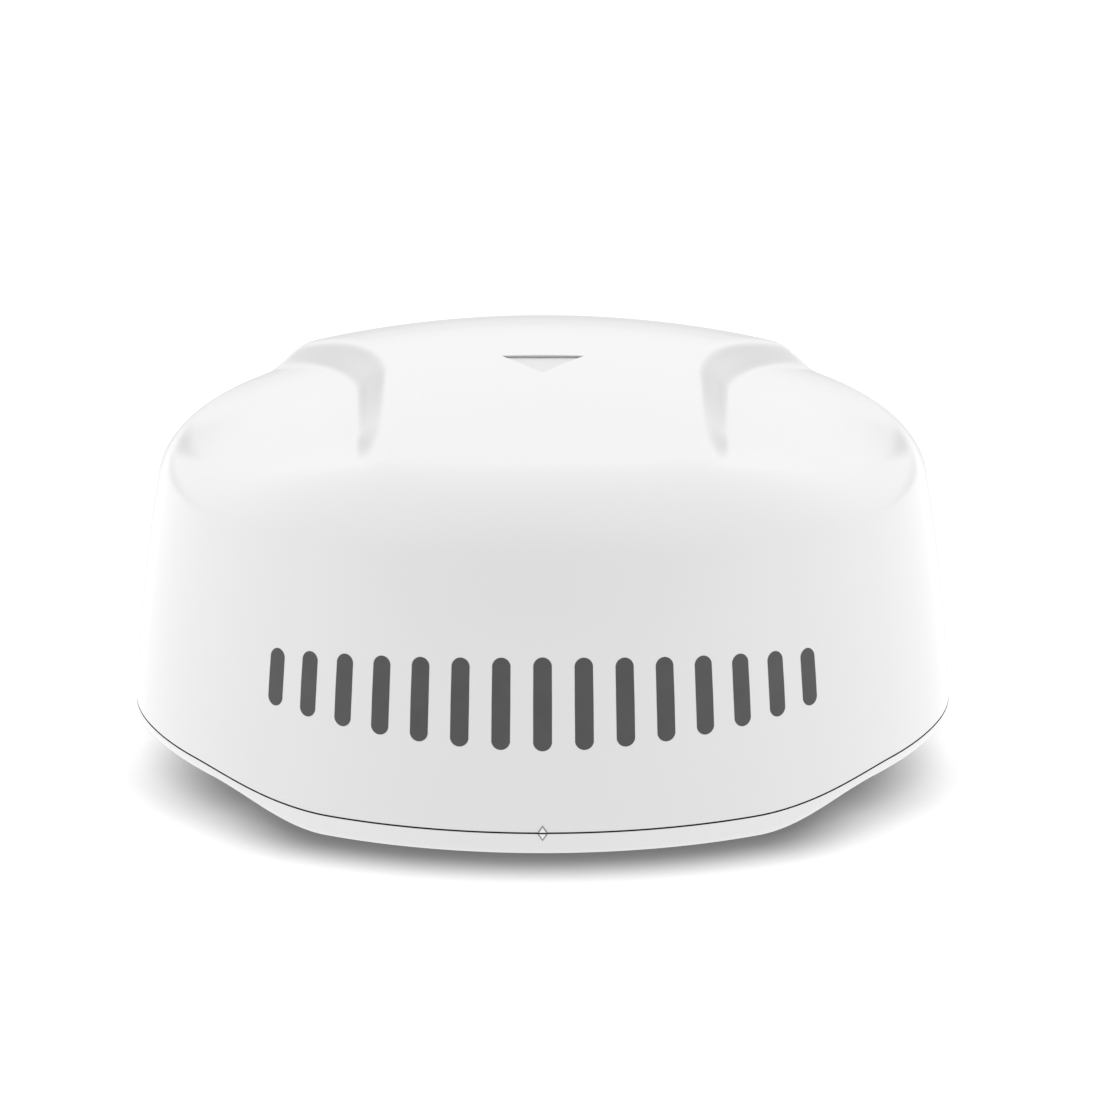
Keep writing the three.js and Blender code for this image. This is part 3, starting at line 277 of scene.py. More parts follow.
def spline(points):
    """A centripetal Catmull-Rom spline through the points, in ten steps from each to the next."""
    p = [np.array(q, float) for q in points]
    p = [2 * p[0] - p[1]] + p + [2 * p[-1] - p[-2]]
    path = []
    for i in range(1, len(p) - 2):
        a, b, c, d = p[i - 1], p[i], p[i + 1], p[i + 2]
        t0, t1 = 0.0, np.linalg.norm(b - a) ** 0.5
        t2 = t1 + np.linalg.norm(c - b) ** 0.5
        t3 = t2 + np.linalg.norm(d - c) ** 0.5
        for t in np.linspace(t1, t2, 10, endpoint=False):
            ab = (t1 - t) / (t1 - t0) * a + (t - t0) / (t1 - t0) * b
            bc = (t2 - t) / (t2 - t1) * b + (t - t1) / (t2 - t1) * c
            cd = (t3 - t) / (t3 - t2) * c + (t - t2) / (t3 - t2) * d
            abc = (t2 - t) / (t2 - t0) * ab + (t - t0) / (t2 - t0) * bc
            bcd = (t3 - t) / (t3 - t1) * bc + (t - t1) / (t3 - t1) * cd
            path.append((t2 - t) / (t2 - t1) * abc + (t - t1) / (t2 - t1) * bcd)
    path.append(p[-2])
    return np.array(path)


def cable(points, radius):
    path = spline(points)
    angles = np.radians(np.arange(20) * 18.0)
    tangents = np.gradient(path, axis=0)
    tangents /= np.linalg.norm(tangents, axis=1)[:, None]
    side = np.cross(tangents[0], [0, 0, 1.0])
    if np.linalg.norm(side) < 0.1:
        side = np.array([1.0, 0, 0])
    loops = []
    for centre, tangent in zip(path, tangents):
        side = side - tangent * (side @ tangent)
        side /= np.linalg.norm(side)
        up = np.cross(side, tangent)
        loops.append(centre + radius * (np.cos(angles)[:, None] * side + np.sin(angles)[:, None] * up))
    return skin(loops)


def mesh_object(name, parts, angle=32):
    """One mesh object from (verts, faces) parts or ((verts, faces), material index) pairs."""
    verts, faces, slots = [], [], []
    start = 0
    for part in parts:
        (v, f), index = part if isinstance(part[1], int) else (part, 0)
        verts.append(v)
        faces.extend(tuple(i + start for i in face) for face in f)
        slots.extend([index] * len(f))
        start += len(v)
    mesh = bpy.data.meshes.new(name)
    mesh.from_pydata((np.concatenate(verts) * 0.001).tolist(), [], faces)
    mesh.polygons.foreach_set("material_index", slots)
    obj = bpy.data.objects.new(name, mesh)
    bpy.context.scene.collection.objects.link(obj)
    turn_outward(mesh)
    soften(mesh, angle)
    return obj


def paint(obj, index, inside):
    """Gives the faces whose centres pass the test another material index."""
    count = len(obj.data.polygons)
    centres, slots = np.empty(count * 3), np.empty(count, dtype=np.int32)
    obj.data.polygons.foreach_get("center", centres)
    obj.data.polygons.foreach_get("material_index", slots)
    x, y, z = centres.reshape(-1, 3).T * 1000
    slots[inside(x, y, z)] = index
    obj.data.polygons.foreach_set("material_index", slots)
    obj.data.update()


def turn_outward(mesh):
    b = bmesh.new()
    b.from_mesh(mesh)
    bmesh.ops.recalc_face_normals(b, faces=b.faces)
    b.to_mesh(mesh)
    b.free()


def soften(mesh, angle):
    mesh.shade_smooth()
    mesh.set_sharp_from_angle(angle=math.radians(angle))


def combine(obj, tool, operation):
    """Applies a boolean with another object and removes the tool."""
    modifier = obj.modifiers.new("boolean", "BOOLEAN")
    modifier.operation = operation
    modifier.solver = "MANIFOLD"
    modifier.object = tool
    result = bpy.data.meshes.new_from_object(obj.evaluated_get(bpy.context.evaluated_depsgraph_get()))
    obj.modifiers.remove(modifier)
    old = obj.data
    obj.data = result
    bpy.data.meshes.remove(old)
    bpy.data.objects.remove(tool)


def cut(obj, *parts):
    """Subtracts the parts from the object."""
    combine(obj, mesh_object("cutter", parts), "DIFFERENCE")


def polar(radius, angle):
    return radius * math.cos(angle), radius * math.sin(angle)


def hexagon(radius, start=0):
    return [polar(radius, math.radians(start + 60 * k)) for k in range(6)]


# ---- materials -----------------------------------------------------------------------------------
class Look:
    """A small helper around one node material, with object coordinates in metres."""

    def __init__(self, name):
        self.name = name
        self.material = bpy.data.materials.new(name + "_finish")
        self.material.use_nodes = True
        self.tree = self.material.node_tree
        self.shader = self.tree.nodes["Principled BSDF"]
        self.place = self.node("ShaderNodeTexCoord").outputs["Object"]

    def node(self, kind, **values):
        made = self.tree.nodes.new(kind)
        for key, value in values.items():
            setattr(made, key, value)
        return made

    def link(self, source, target):
        self.tree.links.new(source, target)

    def noise(self, scale, detail=3.0, stretch=(1, 1, 1)):
        mapping = self.node("ShaderNodeMapping")
        mapping.inputs["Scale"].default_value = stretch
        self.link(self.place, mapping.inputs["Vector"])
        texture = self.node("ShaderNodeTexNoise")
        texture.inputs["Scale"].default_value = scale
        texture.inputs["Detail"].default_value = detail
        self.link(mapping.outputs["Vector"], texture.inputs["Vector"])
        return texture.outputs["Fac"]

    def spread(self, source, low, high, start=0.15, end=0.85):
        node = self.node("ShaderNodeMapRange", interpolation_type="SMOOTHSTEP")
        for key, value in (("From Min", start), ("From Max", end), ("To Min", low), ("To Max", high)):
            node.inputs[key].default_value = value
        self.link(source, node.inputs["Value"])
        return node.outputs["Result"]

    def blend(self, factor, first, second):
        node = self.node("ShaderNodeMix", data_type="RGBA")
        self.link(factor, node.inputs["Factor"])
        for socket, value in ((node.inputs[6], first), (node.inputs[7], second)):
            if isinstance(value, tuple):
                socket.default_value = (*value, 1)
            else:
                self.link(value, socket)
        return node.outputs[2]

    def radial(self):
        """Distance from the Z axis, for the rings on turned metal and for the floor."""
        flat = self.node("ShaderNodeVectorMath", operation="MULTIPLY")
        flat.inputs[1].default_value = (1, 1, 0)
        self.link(self.place, flat.inputs[0])
        length = self.node("ShaderNodeVectorMath", operation="LENGTH")
        self.link(flat.outputs["Vector"], length.inputs[0])
        return length.outputs["Value"]

    def stripes(self, source, per_metre):
        times = self.node("ShaderNodeMath", operation="MULTIPLY")
        times.inputs[1].default_value = per_metre
        self.link(source, times.inputs[0])
        wave = self.node("ShaderNodeMath", operation="SINE")
        self.link(times.outputs[0], wave.inputs[0])
        return wave.outputs[0]

    def bump(self, source, strength, distance):
        node = self.node("ShaderNodeBump")
        node.inputs["Strength"].default_value = strength
        node.inputs["Distance"].default_value = distance
        self.link(source, node.inputs["Height"])
        if self.shader.inputs["Normal"].is_linked:
            self.link(self.shader.inputs["Normal"].links[0].from_socket, node.inputs["Normal"])
        self.link(node.outputs["Normal"], self.shader.inputs["Normal"])

    def set(self, **values):
        for key, value in values.items():
            self.shader.inputs[key.replace("_", " ")].default_value = value
        return self


def plain_look(name, dark, light, rough, scale, bump, grain, extras=None):
    """Colour drift between two tones, uneven gloss and a fine surface grain; extras are metal and coat."""
    extras = extras or {}
    look = Look(name)
    drift = look.noise(scale, 4)
    look.link(look.blend(look.spread(drift, 0, 1), dark, light), look.shader.inputs["Base Color"])
    look.link(look.spread(look.noise(scale * 2.3, 3), rough[0], rough[1]), look.shader.inputs["Roughness"])
    look.bump(look.noise(grain, 2), bump, 0.0002)
    look.set(Metallic=extras.get("metal", 0.0))
    if "coat" in extras:
        look.set(Coat_Weight=extras["coat"], Coat_Roughness=0.12)
    return look


def turned_look(name, dark, light, rough):
    """Machined metal with fine lathe rings and handling marks."""
    look = plain_look(name, dark, light, rough, 60, 0.08, 4000, {"metal": 1.0})
    look.bump(look.stripes(look.radial(), 16000), 0.05, 0.00005)
    return look


# name: darker tone, lighter tone, roughness from and to, scale of the drift, grain strength and scale, extras
PLAIN_LOOKS = {
    "cover_plastic": ((0.80, 0.802, 0.80), (0.815, 0.816, 0.813), (0.17, 0.23), 4, 0.02, 1100, {"coat": 0.5}),
    "recess_plastic": ((0.75, 0.75, 0.75), (0.78, 0.78, 0.78), (0.5, 0.65), 20, 0.3, 2600),
    # base_plastic is a little lighter than cover_plastic: painted light for the brighter band of the base.
    "base_plastic": ((0.83, 0.83, 0.827), (0.85, 0.85, 0.847), (0.2, 0.28), 5, 0.03, 1400, {"coat": 0.4}),
    "decal_ink": ((0.066, 0.066, 0.068), (0.078, 0.078, 0.08), (0.34, 0.46), 60, 0.05, 3000),
    "mark_plastic": ((0.26, 0.26, 0.26), (0.32, 0.32, 0.32), (0.35, 0.5), 200, 0.05, 3000),
    "mark_fill": ((0.93, 0.93, 0.93), (0.95, 0.95, 0.95), (0.35, 0.5), 200, 0.05, 3000),
    # The rubber look is black rubber for the seals, and is also painted on the faces in and behind the
    # parting gap as their shade.
    "rubber": ((0.012, 0.012, 0.013), (0.03, 0.03, 0.031), (0.7, 0.92), 90, 0.35, 2500),
    "dark_plastic": ((0.02, 0.02, 0.022), (0.036, 0.036, 0.038), (0.42, 0.6), 70, 0.4, 3500),
    "pale_plastic": ((0.62, 0.61, 0.57), (0.7, 0.69, 0.65), (0.4, 0.5), 70, 0.2, 2500),
    "acetal": ((0.72, 0.7, 0.63), (0.8, 0.78, 0.72), (0.34, 0.48), 40, 0.12, 2000),
    "cable_jacket": ((0.014, 0.014, 0.015), (0.03, 0.03, 0.03), (0.4, 0.55), 120, 0.15, 1500),
    "cast_aluminium": ((0.5, 0.51, 0.52), (0.63, 0.64, 0.65), (0.38, 0.55), 45, 0.5, 1800, {"metal": 1.0}),
    "tin": ((0.55, 0.56, 0.56), (0.7, 0.7, 0.7), (0.25, 0.42), 90, 0.1, 2500, {"metal": 1.0}),
    "patch_metal": ((0.7, 0.45, 0.2), (0.8, 0.55, 0.28), (0.25, 0.4), 60, 0.05, 2000, {"metal": 1.0}),
}


def sheet_look(name):
    """Rolled sheet with a grain along X."""
    look = Look(name)
    grain = look.noise(180, 3, (0.05, 1, 1))
    tone = look.blend(look.spread(grain, 0, 1), (0.55, 0.56, 0.57), (0.72, 0.73, 0.74))
    look.link(tone, look.shader.inputs["Base Color"])
    look.link(look.spread(look.noise(900, 2, (0.04, 1, 1)), 0.28, 0.46), look.shader.inputs["Roughness"])
    look.bump(grain, 0.12, 0.0001)
    return look.set(Metallic=1.0)


def lamination_look(name):
    """Stacked steel sheets, seen as fine level lines."""
    look = Look(name)
    split = look.node("ShaderNodeSeparateXYZ")
    look.link(look.place, split.inputs[0])
    layers = look.stripes(split.outputs["Z"], 9000)
    tone = look.blend(look.spread(layers, 0, 1, -1, 1), (0.012, 0.012, 0.013), (0.045, 0.045, 0.047))
    look.link(tone, look.shader.inputs["Base Color"])
    look.link(look.spread(look.noise(300), 0.35, 0.55), look.shader.inputs["Roughness"])
    look.bump(layers, 0.3, 0.0001)
    return look.set(Metallic=0.7)


def board_look(name, mask, trace):
    """A circuit board: masked laminate with a lighter grid of traces."""
    look = Look(name)
    cells = look.node("ShaderNodeTexBrick")
    for key, value in (("Scale", 160), ("Mortar Size", 0.03), ("Color1", (1, 1, 1, 1)),
                       ("Color2", (0.75, 0.75, 0.75, 1)), ("Mortar", (0, 0, 0, 1))):
        cells.inputs[key].default_value = value
    look.link(look.place, cells.inputs["Vector"])
    look.link(look.blend(cells.outputs["Color"], trace, mask), look.shader.inputs["Base Color"])
    look.link(look.spread(look.noise(150), 0.28, 0.42), look.shader.inputs["Roughness"])
    look.bump(look.noise(1500), 0.1, 0.0001)
    return look


def build_looks():
    looks = [plain_look(name, *values) for name, values in PLAIN_LOOKS.items()]
    looks.append(turned_look("steel", (0.48, 0.49, 0.5), (0.62, 0.63, 0.64), (0.22, 0.38)))
    looks.append(turned_look("brass", (0.62, 0.44, 0.17), (0.74, 0.55, 0.24), (0.24, 0.4)))
    looks.append(sheet_look("sheet_aluminium"))
    looks.append(lamination_look("lamination"))
    looks.append(board_look("solder_mask", (0.012, 0.075, 0.03), (0.02, 0.13, 0.05)))
    looks.append(board_look("antenna_laminate", (0.36, 0.27, 0.13), (0.44, 0.34, 0.18)))
    return {look.name: look.material for look in looks}


LOOKS = build_looks()


def make(name, parts, looks, body, node, angle=32):
    """Builds a piece that rides on a body, stands for a CAD node and takes a material slot."""
    obj = mesh_object(name, parts, angle)
    dress(obj, looks)
    register(obj, body, node)


def dress(obj, looks):
    """Sets the materials; clearing them would also clear which face has which, so that is put back."""
    slots = np.empty(len(obj.data.polygons), dtype=np.int32)
    obj.data.polygons.foreach_get("material_index", slots)
    obj.data.materials.clear()
    for look in looks.split():
        obj.data.materials.append(LOOKS[look])
    obj.data.polygons.foreach_set("material_index", slots)


def register(obj, body, node):
    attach(obj, body)
    if node:
        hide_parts(node)


def complete(obj, looks, body, node, angle=30):
    """Shades, dresses and registers a piece that was built in several steps."""
    soften(obj.data, angle)
    dress(obj, looks)
    register(obj, body, node)


# ---- cover ---------------------------------------------------------------------------------------
AZIMUTHS = np.arange(AROUND) * 360.0 / AROUND


def cover_shell():
    seam = seam_height(AZIMUTHS) + SEAM_HALF_GAP
    loops = []
    top_rings = np.concatenate([[3.0], np.linspace(9, 231, 64)])
    for rho in top_rings:
        loops.append(surface_loop(AZIMUTHS, rho, crown_height(0.0, rho)))
    for z in np.linspace(206, 54, 40):
        loops.append(surface_loop(AZIMUTHS, wall_radius(z), z))
    for t in (0.2, 0.4, 0.6, 0.8, 0.93):
        z = 54 + (seam + 1.0 - 54) * t
        loops.append(ring(AZIMUTHS, wall_radius(z), z))
    edge = 0.35
    for turn in (0, 30, 60, 90):
        sine, cosine = math.sin(math.radians(turn)), math.cos(math.radians(turn))
        loops.append(ring(AZIMUTHS, wall_radius(seam + edge) - edge * (1 - cosine), seam + edge * (1 - sine)))
    loops.append(ring(AZIMUTHS, wall_radius(seam) - WALL, seam))
    inner_low = wall_radius(FLANGE_LOW) - WALL
    inner_high = wall_radius(FLANGE_HIGH) - WALL
    for r, z in ((inner_low, FLANGE_LOW), (FLANGE_INNER + 0.5, FLANGE_LOW), (FLANGE_INNER, FLANGE_LOW + 0.5),
                 (FLANGE_INNER, FLANGE_HIGH - 0.5), (FLANGE_INNER + 0.5, FLANGE_HIGH),
                 (inner_high - 1.5, FLANGE_HIGH), (inner_high, FLANGE_HIGH + 1.5)):
        loops.append(ring(AZIMUTHS, r, z))
    for z in np.linspace(60, 190, 14):
        loops.append(surface_loop(AZIMUTHS, wall_radius(z), z, WALL))
    for rho in np.linspace(224, 6, 34):
        loops.append(surface_loop(AZIMUTHS, rho, crown_height(0.0, rho), WALL))
    return skin(loops)


def triangle_cutter():
    """The recess in the crown: deep along its straight rear edge, running out at its rounded tip."""
    outline = [(-25.8, -9.0, 0.8), (-4.4, -41.0, 0), (0, -47.5, 5.0), (4.4, -41.0, 0), (25.8, -9.0, 0.8)]
    outline = np.array(filleted(outline, 0, True, 8))
    floor = CROWN_TOP - RECESS_DEPTH + 0.026 * (-9 - outline[:, 1])
    low = np.column_stack([outline, floor])
    high = np.column_stack([outline, np.full(len(outline), CROWN_TOP + 6)])
    return skin([low, high])


def cover_boss(azimuth):
    post = lathe([(0, 50), (4.5, 50), (4.5, FLANGE_LOW), (8, FLANGE_LOW), (8, 54), (0, 54)], 0.5, 48)
    web = block((-5, 5), (-SCREW_CIRCLE - 26.5, -SCREW_CIRCLE - 7.4), (FLANGE_LOW + 0.2, 53.5), 0.5, 0.5)
    return [on_circle(post, SCREW_CIRCLE, azimuth), turned(web, azimuth)]


def in_recess(x, y, z):
    return (np.abs(x) < 26.2) & (y > -48) & (y < -6.5) & (z > CROWN_TOP - 3) & (z < crown_height(x, y) - 0.08)


def on_parting_edge(x, y, z):
    """The cover's lower edge and the lower half of its rounding, painted dark as shade in the parting gap."""
    gap = seam_height(np.degrees(np.arctan2(x, -y))) + SEAM_HALF_GAP
    r = np.hypot(x, y)
    return (z < gap + 0.2) & (r < wall_radius(z) - 0.05) & (r > wall_radius(z) - WALL - 0.1)


def in_gutter(x, y, z):
    """Groove behind the parting line and the strip of the ring seen through it, painted dark as shade."""
    gap = seam_height(np.degrees(np.arctan2(x, -y)))
    r = np.hypot(x, y)
    behind = (r < wall_radius(z) - WALL + 0.4) & (z > gap - GUTTER - 0.05) & (z < gap + SHADE_ABOVE_GAP / 2)
    rim = (r < wall_radius(z) - 0.15) & (z > gap - SEAM_HALF_GAP - 0.1) & (z < gap)
    return (r > RING_OUTER - 0.05) & (behind | rim)


def build_cover():
    cover = mesh_object("radome_cover", [cover_shell()], 34)
    cut(cover, triangle_cutter())
    slot = block((-25.0, 25.0), (-10.0, -6.9), (CROWN_TOP - RECESS_DEPTH, CROWN_TOP - 0.95), 0.3, 0.2)
    cut(cover, slot)
    bosses = mesh_object("cover_bosses", [part for a in CORNERS.values() for part in cover_boss(a)])
    join(cover, bosses)
    soften(cover.data, 34)
    dress(cover, "cover_plastic recess_plastic rubber")
    paint(cover, 1, in_recess)
    # Painted shade: the cover's edge inside the parting gap takes the dark rubber look.
    paint(cover, 2, on_parting_edge)
    register(cover, "radome", "radome")


def build_cover_inserts():
    for corner, azimuth in CORNERS.items():
        insert = [tube(2.8, 4.2, 35.2, 46, 0.3, 48)]
        for z in np.arange(37, 45, 1.6):
            insert.append(tube(4.0, 4.35, z, z + 0.8, 0.1, 48))
        insert = [on_circle(part, SCREW_CIRCLE, azimuth) for part in insert]
        make("cover_insert_" + corner, insert, "brass", "radome", "radome_insert_" + corner)


def join(obj, other):
    """Adds another object's mesh to this one."""
    b = bmesh.new()
    b.from_mesh(obj.data)
    b.from_mesh(other.data)
    b.to_mesh(obj.data)
    b.free()
    bpy.data.objects.remove(other)


def build_marks():
    """The alignment diamond at the front, one half on the cover and one on the base."""
    face = wall_radius(SEAM_FRONT_Z)
    halves = ((1, "front_mark_upper", "radome", "cover"), (-1, "front_mark_lower", "base", "base"))
    for upper, name, body, look in halves:
        start = SEAM_FRONT_Z + upper * SEAM_HALF_GAP
        parts = []
        for size, depth, index in ((1.0, 0.25, 0), (0.66, 0.42, 1)):
            lift = upper * 0.5 * (1 - size)
            foot = start + lift
            outline = [(-3.2 * size, foot), (3.2 * size, foot), (0, foot + upper * 4.6 * size)]
            outline = outline if upper > 0 else outline[::-1]
            wedge = raised(outline, face - 1.5, face + depth, 0.12, 2)
            parts.append((turned(wedge, 90, "x"), index))
        make(name, parts, "mark_plastic mark_fill", body, None)


def build_decal():
    """A generic row of upright bars, tallest in the middle, in place of lettering."""
    parts = []
    last = (DECAL_BARS - 1) / 2
    for i in range(DECAL_BARS):
        place = i - last
        height = DECAL_HEIGHT - DECAL_DROP * (abs(place) / last) ** DECAL_POWER
        straight = (height - DECAL_WIDTH) / 2
        rows = []
        for turn in range(-90, 91, 9):
            middle = DECAL_Z + math.copysign(straight, turn) if turn else DECAL_Z
            across, up = polar(DECAL_WIDTH / 2, math.radians(turn))
            rows.append((middle + up, max(0.05, across)))
        parts.append(bar_sheet(place * DECAL_PITCH, rows))
    make("front_decal", parts, "decal_ink", "radome", None, 50)


def bar_sheet(centre, rows):
    """A thin closed sheet following the wall, from rows of (height, half width)."""
    across = 9
    loops = []
    for z, w in rows:
        turn = np.degrees((centre + w * np.linspace(-1, 1, across)) / DECAL_RADIUS)
        front = ring(turn, wall_radius(z) + 0.12, z)
        back = ring(turn[::-1], wall_radius(z) - 0.3, z)
        loops.append(np.concatenate([front, back]))
    return skin(loops)


# ---- base ----------------------------------------------------------------------------------------
def base_shell():
    skirt = skirt_height(AZIMUTHS)
    seam = seam_height(AZIMUTHS) - SEAM_HALF_GAP
    ledge = np.maximum(skirt + WALL, PAN_FLOOR + 0.5)
    gutter = seam_height(AZIMUTHS) - GUTTER
    rounding = np.minimum(SKIRT_ROUND, 0.75 * (seam - skirt))
    bottom = wall_radius(skirt)
    corner = 0.4 * np.sign(skirt - PAN_UNDERSIDE)
    underside = ((3.0, PAN_UNDERSIDE), (120.0, PAN_UNDERSIDE), (PAN_RADIUS - 0.6, PAN_UNDERSIDE),
                 (PAN_RADIUS, PAN_UNDERSIDE + corner), (PAN_RADIUS, skirt - corner),
                 (PAN_RADIUS + 0.6, skirt), ((PAN_RADIUS + bottom - rounding) / 2, skirt))
    loops = [ring(AZIMUTHS, r, z) for r, z in underside]
    for turn in range(0, 91, 10):
        sine, cosine = math.sin(math.radians(turn)), math.cos(math.radians(turn))
        r = wall_radius(skirt + rounding) - rounding * (1 - sine)
        loops.append(ring(AZIMUTHS, r, skirt + rounding * (1 - cosine)))
    for t in (0.35, 0.7, 0.95):
        z = (skirt + rounding) * (1 - t) + (seam - 0.3) * t
        loops.append(ring(AZIMUTHS, wall_radius(z), z))
    outside = wall_radius(seam)
    groove_out, groove_in = GASKET_RADIUS + 1.8, GASKET_RADIUS - 1.8
    for r, z in ((outside - 0.1, seam - 0.1), (outside - 0.35, seam), (outside - WALL + 0.3, seam),
                 (outside - WALL, seam - 0.3), (outside - WALL, gutter),
                 # A loop on the ring a little above the gap bounds the painted shade strip.
                 (RING_OUTER, gutter), (RING_OUTER, seam + SHADE_ABOVE_GAP),
                 (RING_OUTER, RING_TOP - 0.4), (RING_OUTER - 0.4, RING_TOP),
                 (groove_out + 0.2, RING_TOP), (groove_out, RING_TOP - 0.2), (groove_out, RING_TOP - 3),
                 (groove_in, RING_TOP - 3), (groove_in, RING_TOP - 0.2), (groove_in - 0.2, RING_TOP),
                 (RING_INNER + 0.4, RING_TOP), (RING_INNER, RING_TOP - 0.4), (RING_INNER, ledge + 1.2),
                 (RING_INNER - 1.2, ledge), (PAN_RADIUS - WALL + 0.5, ledge),
                 (PAN_RADIUS - WALL, ledge - 0.25), (PAN_RADIUS - WALL, PAN_FLOOR + 0.15),
                 (PAN_RADIUS - WALL - 0.4, PAN_FLOOR),
                 (120.0, PAN_FLOOR), (3.0, PAN_FLOOR)):
        loops.append(ring(AZIMUTHS, r, z))
    return skin(loops)


def mount_places():
    return {side + "_" + hand: (sx * MOUNT_X, sy * MOUNT_Y)
            for side, sy in (("front", -1), ("rear", 1)) for hand, sx in (("left", -1), ("right", 1))}


def base_additions():
    """Bosses and housings standing on the pan, then the webs that tie them to the ring."""
    first = []
    for x, y in mount_places().values():
        boss = lathe([(0, 0), (18, 0, 0.8), (18, PAN_FLOOR + 0.2), (11.6, PAN_FLOOR + 2, 1.5), (11, 30, 0.8),
                      (0, 30)], 0.4)
        first.append(moved(boss, x, y))
    for azimuth in CORNERS.values():
        first.append(on_circle(disc(9, 13.5, RING_TOP, 0.5, 48), SCREW_CIRCLE, azimuth))
    height = PAN_UNDERSIDE + 0.01, RING_TOP - 0.05
    first.append(block((-46, 46), (POCKET_FRONT - 4, RING_INNER + 3), height, 2.5, 0.8))
    first.append(moved(disc(7, PAN_UNDERSIDE + 1, 20, 0.5, 48), *EARTH_PLACE))
    for x, y in BOARD_SCREWS:
        first.append(moved(disc(4, PAN_FLOOR - 1, 14, 0.3, 32), x, y))
    web = block((-3, 3), (-RING_INNER - 2, -SCREW_CIRCLE - 7), (18, 33.2), 0.5, 0.4)
    second = [turned(web, azimuth) for azimuth in CORNERS.values()]
    for step in range(24):
        azimuth = 7.5 + 15 * step
        if min(abs(azimuth - a) for a in CORNERS.values()) > 5 and abs(azimuth - 180) > 14:
            ledge = max(float(skirt_height(azimuth)) + WALL, PAN_FLOOR + 0.5)
            rib = block((-1.1, 1.1), (-RING_INNER - 1, -PAN_RADIUS + 3), (ledge - 1, 29.5), 0.3, 0.3)
            second.append(turned(rib, azimuth))
    return first, second


def base_cutters():
    cutters = [block((-42, 42), (POCKET_FRONT, POCKET_REAR), (-1, POCKET_TOP), 3, 1.0)]
    for x, y in mount_places().values():
        cutters.append(moved(disc(6.5, -1, 24.3, 0.1, 48), x, y))
    for azimuth in CORNERS.values():
        screw = lathe([(0, 2), (5.3, 2), (5.3, 20.5), (2.8, 20.5), (2.8, 36), (0, 36)], 0.05, 48)
        cutters.append(on_circle(screw, SCREW_CIRCLE, azimuth))
    cutters.append(moved(disc(4.3, 2, 12, 0.1, 48), *VENT_PLACE))
    cutters.append(moved(disc(2.8, 1, 16, 0.1, 48), *EARTH_PLACE))
    for x, barrel, _ in CONNECTORS.values():
        hole = disc(barrel + 0.3, POCKET_FRONT - 8, POCKET_FRONT - 0.5, 0.05, 48)
        cutters.append(along_y(hole, x, CONNECTOR_Z))
    for azimuth in COLUMN_SCREWS.values():
        cutters.append(on_circle(disc(2.3, 2, 12, 0.05, 32), COLUMN_SCREW_CIRCLE, azimuth))
    return cutters


def build_base():
    base = mesh_object("base_body", [base_shell()], 30)
    first, second = base_additions()
    combine(base, mesh_object("additions", first), "UNION")
    combine(base, mesh_object("additions", second), "UNION")
    cut(base, *base_cutters())
    exits = [block((-16, 16), (POCKET_REAR - 5, WALL_RADIUS + 10), (-1, 8), 2, 0.8)]
    for x, barrel, _ in CONNECTORS.values():
        hole = disc(barrel + 0.3, POCKET_FRONT - 5, POCKET_FRONT + 2, 0.05, 48)
        exits.append(along_y(hole, x, CONNECTOR_Z))
    cut(base, *exits)
    soften(base.data, 30)
    dress(base, "base_plastic rubber")
    # Painted shade: the gutter and the ring strip behind the parting gap take the dark rubber look.
    paint(base, 1, in_gutter)
    register(base, "base", "base_housing")


# ---- seals, inserts and screws -------------------------------------------------------------------
def hex_prism(across, low, high):
    return skin([level(hexagon(across), low), level(hexagon(across), high)])


def socket_screw(name, profile, socket, placing, body, node, thread=None):
    """A socket head screw: turned profile, hexagon socket, and shallow thread rings on its shank."""
    screw = mesh_object(name, [placing(lathe(profile, 0.3, 48))], 30)
    cut(screw, placing(hex_prism(*socket)))
    if thread:
        radius, low, high, pitch = thread
        count = int((high - low) / pitch)
        steps = [(radius + (THREAD_DEPTH if k % 2 else 0.0), low + (high - low) * k / (2 * count), 0)
                 for k in range(2 * count + 1)]
        shank = lathe([(0, low), *steps, (0, high)], 0, 32)
        join(screw, mesh_object("thread", [placing(shank)], 20))
    complete(screw, "steel", body, node)


def build_seal():
    inner, outer = GASKET_RADIUS - 1.5, GASKET_RADIUS + 1.5
    seal = lathe([(inner, 31.3), (outer, 31.3), (outer, 33.2), (GASKET_RADIUS, 34.4, 0.6), (inner, 33.2)],
                 0.3, AROUND)
    make("rim_seal", [seal], "rubber", "base", "rim_gasket")


def build_mounting_inserts():
    for corner, (x, y) in mount_places().items():
        parts = [tube(3.4, 6.2, 0.5, 24, 0.4, 48)]
        parts += [tube(3.1, 3.6, z, z + 0.6, 0.2, 48) for z in np.arange(2.2, 23, 1.25)]
        parts = [moved(part, x, y) for part in parts]
        make("mounting_insert_" + corner, parts, "brass", "base", "mount_insert_" + corner)


def build_cover_screws():
    profile = [(0, 14), (4.6, 14, 0.6), (4.6, 18.9), (2.45, 18.9), (2.3, 30), (2.3, 46.9), (1.6, 48), (0, 48)]
    for corner, azimuth in CORNERS.items():
        body = "captive_screw_" + corner
        socket_screw("cover_screw_" + corner, profile, (2.35, 13, 16.6),
                     lambda part, a=azimuth: on_circle(part, SCREW_CIRCLE, a), body, body, (2.3, 33, 47, 0.8))
        washer = lathe([(2.9, 19.2), (4.9, 19.2), (4.9, 20.2), (2.9, 20.2)], 0.35, 48)
        washer = on_circle(washer, SCREW_CIRCLE, azimuth)
        make("screw_seal_" + corner, [washer], "rubber", body, "seal_washer_" + corner)


def build_column_screws():
    profile = [(0, 5.6), (1.95, 5.6), (1.95, 14.9), (3.8, 14.9), (3.8, 18.4, 0.7), (0, 18.4)]
    for name, azimuth in COLUMN_SCREWS.items():
        socket_screw("column_screw_" + name, profile, (1.85, 16.4, 20),
                     lambda part, a=azimuth: on_circle(part, COLUMN_SCREW_CIRCLE, a),
                     "base", "pedestal_screw_" + name)


